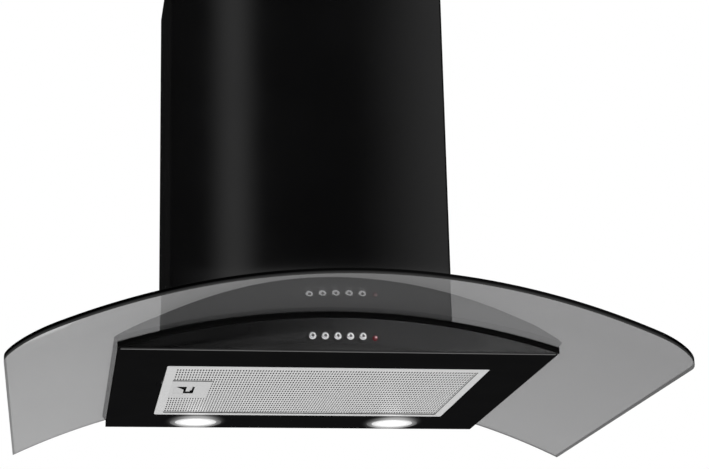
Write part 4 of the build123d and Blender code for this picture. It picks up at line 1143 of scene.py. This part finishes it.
@dataclass
class ScrewSet:
    """Screws of one size with domed heads and a cross recess."""

    node: str
    way: ScrewWay
    head_radius: float
    head_height: float
    shank_radius: float
    body: str = "hood"
    recess_width: float = 0.22
    recess_length: float = 1.15
    recess_depth: float = 0.55
    crease: float = 30.0

    @staticmethod
    def tree() -> GeometryTree:
        """Makes the tree that sets a screw on each point, along the point's axis.

        Returns:
            The tree.
        """
        tree = GeometryTree("cross_head_screws", {
            "Float": ("Head Radius", "Head Height", "Shank Radius", "Shank Length", "Recess Width",
                      "Recess Length", "Recess Depth")})
        given = tree.given
        ball = tree.shape("MeshUVSphere", {
            "Segments": HEAD_CORNERS, "Rings": HEAD_RINGS, "Radius": given["Head Radius"]})
        squat = tree.math("DIVIDE", given["Head Height"], given["Head Radius"])
        head = tree.moved(ball, scale=tree.xyz(1.0, 1.0, squat))
        wide = tree.math("MULTIPLY", given["Head Radius"], BLOCK_WIDTH)
        block = tree.shape("MeshCube", {"Size": tree.xyz(wide, wide, wide)})
        cuts = [tree.moved(block, translation=tree.xyz(z=tree.math("MULTIPLY", wide, -0.5)))]
        deep = tree.math("MULTIPLY", given["Recess Depth"], 2.0)
        arm = tree.shape("MeshCube", {"Size": tree.xyz(given["Recess Length"], given["Recess Width"], deep)})
        top = tree.xyz(z=given["Head Height"])
        for turn in (0.0, math.pi / 2):
            cuts.append(tree.moved(arm, translation=top, rotation=(0.0, 0.0, turn)))
        for cut in cuts:
            head = tree.shape("MeshBoolean", {"Mesh 1": head, "Mesh 2": cut},
                              operation="DIFFERENCE", solver="EXACT")
        shank = tree.shape("MeshCylinder", {
            "Vertices": SHANK_CORNERS, "Radius": given["Shank Radius"], "Depth": given["Shank Length"]})
        stem = tree.moved(shank, translation=tree.xyz(z=tree.math("MULTIPLY", given["Shank Length"], -0.5)))
        axis = tree.shape("InputNamedAttribute", {"Name": "axis"}, data_type="FLOAT_VECTOR")
        turned = tree.add("FunctionNodeAlignRotationToVector", {"Vector": axis}, axis="Z").outputs[0]
        tree.close(tree.shape("InstanceOnPoints", {
            "Points": given["Geometry"], "Instance": tree.merge(head, stem), "Rotation": turned}))
        return tree

    def build(self, tree: GeometryTree, finish: Material, curve_axis: float) -> Piece:
        """Makes the set in the places of its solids.

        Args:
            tree: the screw tree.
            finish: the screws' material.
            curve_axis: height of the centre line of the glass curve.

        Returns:
            The set as one piece.
        """
        seats, axes, length = [], [], 0.0
        for points in solids_of(self.node):
            middle = sum(points, Vector()) / len(points)
            axis = Vector(self.way.value)
            if self.way is ScrewWay.OUT_OF_CURVE:
                axis = Vector((middle.x, 0.0, middle.z - curve_axis)).normalized()
            along = [axis.dot(point - middle) for point in points]
            seats.append(middle + axis * (max(along) - self.head_height))
            axes.append(axis)
            length = max(along) - min(along) - self.head_height
        name = self.node + "_set"
        start = bpy.data.meshes.new(name + "_start")
        start.from_pydata([tuple(seat) for seat in seats], [], [])
        attribute = start.attributes.new("axis", "FLOAT_VECTOR", "POINT")
        for item, axis in zip(attribute.data, axes):
            item.vector = axis
        values = {"Head Radius": self.head_radius, "Head Height": self.head_height,
                  "Shank Radius": self.shank_radius, "Shank Length": length,
                  "Recess Width": self.recess_width * self.head_radius,
                  "Recess Length": self.recess_length * self.head_radius,
                  "Recess Depth": self.recess_depth * self.head_height, "Finish": finish}
        mesh = tree.run(name, values, start)
        smooth(mesh, self.crease)
        piece = add_piece(name, mesh, (finish,))
        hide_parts(self.node)
        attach(piece, self.body)
        return piece


def lamp_middles() -> tuple[Place, ...]:
    """Gives the middle of each lamp on the underside."""
    boxes = [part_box("lamp_lens_" + side) for side in SIDES]
    return tuple(((low.x + high.x) / 2, (low.y + high.y) / 2, low.z) for low, high in boxes)


@dataclass
class BodyAndChimney:
    """Black painted sheet pieces, the glossy fascia, rubber strips and the steel behind them."""

    satin: Paint = Paint("chimney_satin_black", (0.0052, 0.0052, 0.0054), 0.06, 0.5, 700.0, 0.000001)
    matt: Paint = Paint("body_matt_black", (0.009, 0.009, 0.0093), 0.6, 0.0, 1200.0, 0.00002, 0.06)
    # The underside's paint carries a painted glow of the lamps' light round them.
    panel: LampLitPaint = LampLitPaint("underside_matt_black", (0.009, 0.009, 0.0093), 0.6, 0.0, 1200.0,
                                       0.00002, 0.06)
    gloss: Paint = Paint("fascia_gloss_black", (0.002, 0.002, 0.0021), 0.09, 0.5, 160.0, 0.000002)
    rubber: Paint = Paint("seal_rubber", (0.004, 0.004, 0.004), 0.45, 0.05, 2000.0, 0.00003)
    zinc: Zinc = Zinc("galvanised_sheet", (0.55, 0.57, 0.58), 0.42)

    def dress(self) -> None:
        """Gives the sheet pieces, the fascia and the seals their finishes."""
        dress(self.satin, "chimney_cover", "chimney_extension")
        dress(self.matt, "body_shell")
        dress(replace(self.panel, lamps=lamp_middles()), "underside_panel")
        dress(self.gloss, "fascia", "button_guides")
        dress(self.rubber, "front_seal", "glass_gasket", "clamp_gasket")
        dress(self.zinc, "motor_box", "clamp_flange", "chimney_bracket")


@dataclass
class Lamps:
    """Two lit lamps with dark rings, which carry a painted glow of the lamps, and the red indicator with a
    painted glint.
    """

    # The rings' paint carries a painted glow of the lamps' light.
    ring: LampLitPaint = LampLitPaint("lamp_ring_satin", (0.02, 0.02, 0.02), 0.45, 0.1)
    housing: Metal = Metal("lamp_housing_satin", (0.30, 0.30, 0.30), 0.35, (400.0, 400.0, 400.0))
    lens: Colour = (0.9, 0.9, 0.9)
    light: Colour = (1.0, 1.0, 1.0)
    strength: float = 0.84
    point_power: float = 0.0015
    point_drop: float = 0.012
    point_size: float = 0.012
    red: Colour = (0.10, 0.003, 0.008)
    red_rest: Colour = (0.03, 0.0, 0.002)
    # The indicator glows as a lit chip, and its white core, set up and to the right of its middle, is a
    # painted glint.
    glint_glow: Colour = (1.0, 0.7, 0.75)
    red_strength: float = 1.0
    glint_core: Span = (0.1, 0.8)
    red_roughness: float = 0.08
    glint_aim: Place = (0.0007, 0.0, 0.0007)

    def dress(self) -> None:
        """Gives the lamps and the indicator their finishes."""
        dress(replace(self.ring, lamps=lamp_middles()), "lamp_ring_left", "lamp_ring_right")
        dress(self.housing, "lamp_housing_left", "lamp_housing_right")
        for side in SIDES:
            node = "lamp_lens_" + side
            low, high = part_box(node)
            middle, radius = tuple((low + high) / 2), (high.x - low.x) / 2
            dress(LitLens(node, self.lens, self.light, middle, radius, self.strength), node)
        # The white core is moved up and to the right as a painted glint.
        low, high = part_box("indicator_lens")
        glint_spot = Vector(((low.x + high.x) / 2, low.y, (low.z + high.z) / 2)) + Vector(self.glint_aim)
        dress(LitLens("indicator_red", self.red, self.glint_glow, tuple(glint_spot), (high.x - low.x) / 2,
                      self.red_strength, self.glint_core, self.red_rest, self.red_roughness), "indicator_lens")

    def shine(self) -> None:
        """Adds a small light under each lamp."""
        for x, y, z in lamp_middles():
            light = bpy.data.lights.new("lamp_light", "POINT")
            light.energy = self.point_power
            light.shadow_soft_size = self.point_size
            lamp = bpy.data.objects.new("lamp_light", light)
            lamp.location = (x, y, z - self.point_drop)
            bpy.context.scene.collection.objects.link(lamp)


@dataclass
class Blower:
    """Blower, outlet and electrics inside the motor box, and the screws of the hood."""

    black_plastic: Paint = Paint("moulded_black", (0.02, 0.02, 0.021), 0.5, 0.4, 1500.0, 0.00003)
    grey_plastic: Paint = Paint("moulded_grey", (0.30, 0.31, 0.32), 0.5, 0.4, 1500.0, 0.00003)
    motor_paint: Paint = Paint("motor_enamel", (0.05, 0.05, 0.055), 0.4, 0.5, 800.0, 0.00004)
    steel: Metal = Metal("ground_steel", (0.60, 0.60, 0.61), 0.28, (600.0, 40.0, 600.0))
    blued: Paint = Paint("blued_spring", (0.009, 0.009, 0.0093), 0.6, 0.0, 600.0)
    screw: Metal = Metal("screw_zinc", (0.58, 0.58, 0.57), 0.32, (500.0, 500.0, 500.0))
    screws: tuple[ScrewSet, ...] = (
        ScrewSet("collar_screws", ScrewWay.UP, 0.0036, 0.0022, 0.002),
        ScrewSet("motor_screws", ScrewWay.FRONT, 0.0035, 0.0016, 0.002),
        ScrewSet("fascia_screws", ScrewWay.BACK, 0.003, 0.0018, 0.0015),
        ScrewSet("clamp_screws", ScrewWay.OUT_OF_CURVE, 0.0045, 0.003, 0.0025),
    )

    def dress(self) -> None:
        """Gives the inner pieces their finishes."""
        dress(self.black_plastic, "impeller", "outlet_collar", "cable_gland", "switch_module")
        dress(self.grey_plastic, "flap_left", "flap_right", "control_box", "capacitor", "blower_case_front",
              "blower_case_rear")
        dress(self.motor_paint, "motor")
        dress(self.steel, "motor_shaft", "flap_pin", "clamp_nuts")
        dress(self.blued, "latch_keeper")

    def build(self, curve_axis: float) -> list[Piece]:
        """Makes every set of screws.

        Args:
            curve_axis: height of the centre line of the glass curve.

        Returns:
            One piece for each set.
        """
        tree = ScrewSet.tree()
        finish = self.screw.make()
        return [item.build(tree, finish, curve_axis) for item in self.screws]


@dataclass(frozen=True)
class LightCard:
    """Card of light that faces the hood, with soft ends to its light.

    The rise and the fall are shares of the width, from the left: where the light starts and is full,
    and where it starts to fade and is gone. A card for the glass gives its bare share to other rays.
    """

    name: str
    place: Place
    size: Span
    strength: float
    sight: Sight
    rise: Span
    fall: Span = (1.0, 1.01)
    bare_share: float = 0.2

    def make(self) -> Material:
        """Makes the light, clear where there is none.

        Returns:
            The card's material.
        """
        tree = MaterialTree(self.name)
        x = tree.part(tree.place(), "X")
        left = self.place[0] - self.size[0] / 2
        start, end = ([left + share * self.size[0] for share in shares] for shares in (self.rise, self.fall))
        ends = tree.math("MULTIPLY", tree.ramp(x, start, smooth=True), tree.ramp(x, end, (1.0, 0.0), True))
        ray = tree.add("ShaderNodeLightPath").outputs
        times = 2 if self.sight is Sight.SECOND_GLOSS else 1
        shown = tree.math("MULTIPLY", ends, tree.mirrored(ray, times))
        strength: object = self.strength
        if self.sight is Sight.GLOSS_THROUGH_GLASS:
            bare = (self.strength * self.bare_share, self.strength)
            strength = tree.ramp(ray["Is Transmission Ray"], target=bare)
        light = tree.add("ShaderNodeEmission", {"Strength": strength}).outputs[0]
        return tree.close(tree.mix(shown, tree.add("ShaderNodeBsdfTransparent").outputs[0], light))

    def hang(self) -> None:
        """Hangs the card in the studio, seen only by the rays it is for."""
        (x, y, z), (width, height) = self.place, self.size
        corners = [(x + across * width / 2, y, z + up * height / 2)
                   for across, up in ((-1, -1), (-1, 1), (1, 1), (1, -1))]
        piece = add_piece(self.name, flat_mesh(self.name, corners), (self.make(),))
        piece.visible_camera = False
        piece.visible_shadow = False
        piece.visible_diffuse = False
        piece.visible_transmission = self.sight is Sight.GLOSS_THROUGH_GLASS


@dataclass
class Studio:
    """Floor, light and camera."""

    camera_place: Place = (-0.257865, -2.046586, -0.725389)
    yaw: float = 0.1619
    pitch: float = 0.2812
    roll: float = -0.0226
    focal_pixels: float = 1893.8664
    image_width: float = 709.0
    sensor: float = 36.0
    floor_height: float = -1.8
    floor_half: float = 12.0
    floor_colour: Colour = (0.86, 0.86, 0.86)
    floor_grain: float = 40.0
    floor_clouding: float = 0.02
    floor_roughness: float = 0.8
    room_light: float = 0.75
    front_dim: float = 0.006
    overhead: float = 0.9
    low_band: Span = (-0.1, 0.05)
    back_band: Span = (-0.25, 0.15)
    overhead_band: Span = (0.45, 0.75)
    side_band: Span = (0.0, 0.4)
    side_fade: Span = (1.0, 0.72)
    height_band: Span = (0.16, 0.3)
    height_fade: Span = (1.17, 0.58)
    cards: tuple[LightCard, ...] = (
        LightCard("strip_light", (0.19, -3.0, 1.0), (0.16, 3.2), 0.68, Sight.GLOSS_ONLY, (0.0, 0.5),
                  (0.5, 1.0)),
        LightCard("side_light", (1.45, -3.0, 1.0), (1.9, 3.2), 0.58, Sight.GLOSS_ONLY, (0.0, 0.158)),
        LightCard("fascia_light", (0.35, -1.2, -0.09), (0.9, 0.28), 5.4, Sight.GLOSS_THROUGH_GLASS,
                  (0.0, 0.356)),
        LightCard("mirror_light", (0.2, -1.2, -0.82), (2.4, 0.58), 1.7, Sight.SECOND_GLOSS, (0.0, 0.2)),
    )

    def camera(self) -> None:
        """Sets the camera at the photograph's angle."""
        turn, rise = self.yaw, self.pitch
        forward = Vector((math.sin(turn) * math.cos(rise), math.cos(turn) * math.cos(rise), math.sin(rise)))
        level = Vector((math.cos(turn), -math.sin(turn), 0.0))
        upright = level.cross(forward)
        right = math.cos(self.roll) * level + math.sin(self.roll) * upright
        up = math.cos(self.roll) * upright - math.sin(self.roll) * level
        data = bpy.data.cameras.new("camera")
        data.sensor_width = self.sensor
        data.lens = self.sensor * self.focal_pixels / self.image_width
        camera = bpy.data.objects.new("camera", data)
        rotation = Matrix((right, up, -forward)).transposed().to_4x4()
        camera.matrix_world = Matrix.Translation(self.camera_place) @ rotation
        bpy.context.scene.collection.objects.link(camera)
        bpy.context.scene.camera = camera

    def world(self) -> None:
        """Makes a white backdrop behind, soft light all round, a dim room in front and light overhead."""
        world = bpy.data.worlds.new("studio")
        bpy.context.scene.world = world
        world.use_nodes = True
        tree = Tree(world.node_tree)
        tree.tree.nodes.clear()
        ray = tree.add("ShaderNodeLightPath").outputs
        heading = tree.add("ShaderNodeTexCoord").outputs["Generated"]
        x, y, z = (tree.part(heading, axis) for axis in ("X", "Y", "Z"))
        low = tree.ramp(z, self.low_band, (1.0, 0.0), True)
        away = tree.ramp(y, self.back_band, smooth=True)
        above = tree.ramp(z, self.overhead_band, (self.front_dim, self.overhead), True)
        behind = tree.math("MAXIMUM", tree.math("MULTIPLY", low, away), above)
        through, direct = ray["Is Transmission Ray"], ray["Is Camera Ray"]
        mirrored = tree.mirrored(ray)
        plain_through = tree.math("MULTIPLY", through, tree.math("SUBTRACT", 1.0, mirrored))
        fade = tree.math("MULTIPLY", tree.ramp(x, self.side_band, self.side_fade),
                         tree.ramp(z, self.height_band, self.height_fade))
        seen = tree.math("MAXIMUM", direct, plain_through)
        white = tree.math("MAXIMUM", direct, tree.math("MULTIPLY", plain_through, fade))
        gloss = tree.math("MAXIMUM", ray["Is Glossy Ray"], tree.math("MULTIPLY", through, mirrored))
        backdrop = tree.math("MAXIMUM", white, tree.math("MULTIPLY", gloss, behind))
        soft = tree.math("SUBTRACT", 1.0, tree.math("MAXIMUM", seen, gloss))
        strength = tree.math("ADD", backdrop, tree.math("MULTIPLY", soft, self.room_light))
        background = tree.add("ShaderNodeBackground", {"Color": (1.0, 1.0, 1.0, 1.0), "Strength": strength})
        tree.add("ShaderNodeOutputWorld", {"Surface": background.outputs[0]})

    def floor(self) -> None:
        """Lays a pale floor that can be looked through from below."""
        corners = [(x * self.floor_half, y * self.floor_half, self.floor_height)
                   for x, y in ((-1, -1), (1, -1), (1, 1), (-1, 1))]
        mesh = flat_mesh("floor", corners)
        tree = MaterialTree("floor_pale")
        cloud = tree.group(grain_effect(), {"Scale": self.floor_grain})["Cloud"]
        colour = tree.tones(cloud, self.floor_colour, (1 - self.floor_clouding, 1.0))
        pale = tree.principled({"Base Color": colour, "Roughness": self.floor_roughness})
        below = tree.add("ShaderNodeNewGeometry").outputs["Backfacing"]
        shown = tree.math("MULTIPLY", below, tree.add("ShaderNodeLightPath").outputs["Is Camera Ray"])
        clear = tree.add("ShaderNodeBsdfTransparent").outputs[0]
        material = tree.close(tree.mix(shown, pale, clear))
        add_piece("floor", mesh, (material,))

    def build(self) -> None:
        """Sets up the whole studio."""
        bpy.context.scene.view_settings.view_transform = "Standard"
        self.camera()
        self.world()
        self.floor()
        for card in self.cards:
            card.hang()


def main() -> None:
    """Builds every piece, dresses the solids and sets up the studio."""
    logging.basicConfig(level=logging.INFO, format="%(name)s: %(message)s")
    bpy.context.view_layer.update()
    glass = GlassCanopy()
    pieces = [glass.build()]
    pieces += PushButtons().build()
    cassette = GreaseFilter()
    pieces += cassette.build()
    cassette.dress()
    pieces.append(LatchSpring().build())
    BodyAndChimney().dress()
    lamps = Lamps()
    lamps.dress()
    blower = Blower()
    pieces += blower.build(glass.axis_height)
    blower.dress()
    for piece in pieces:
        LOG.info("built %s with %d faces", piece.name, len(piece.data.polygons))
    Studio().build()
    lamps.shine()


if __name__ == "__main__":
    main()
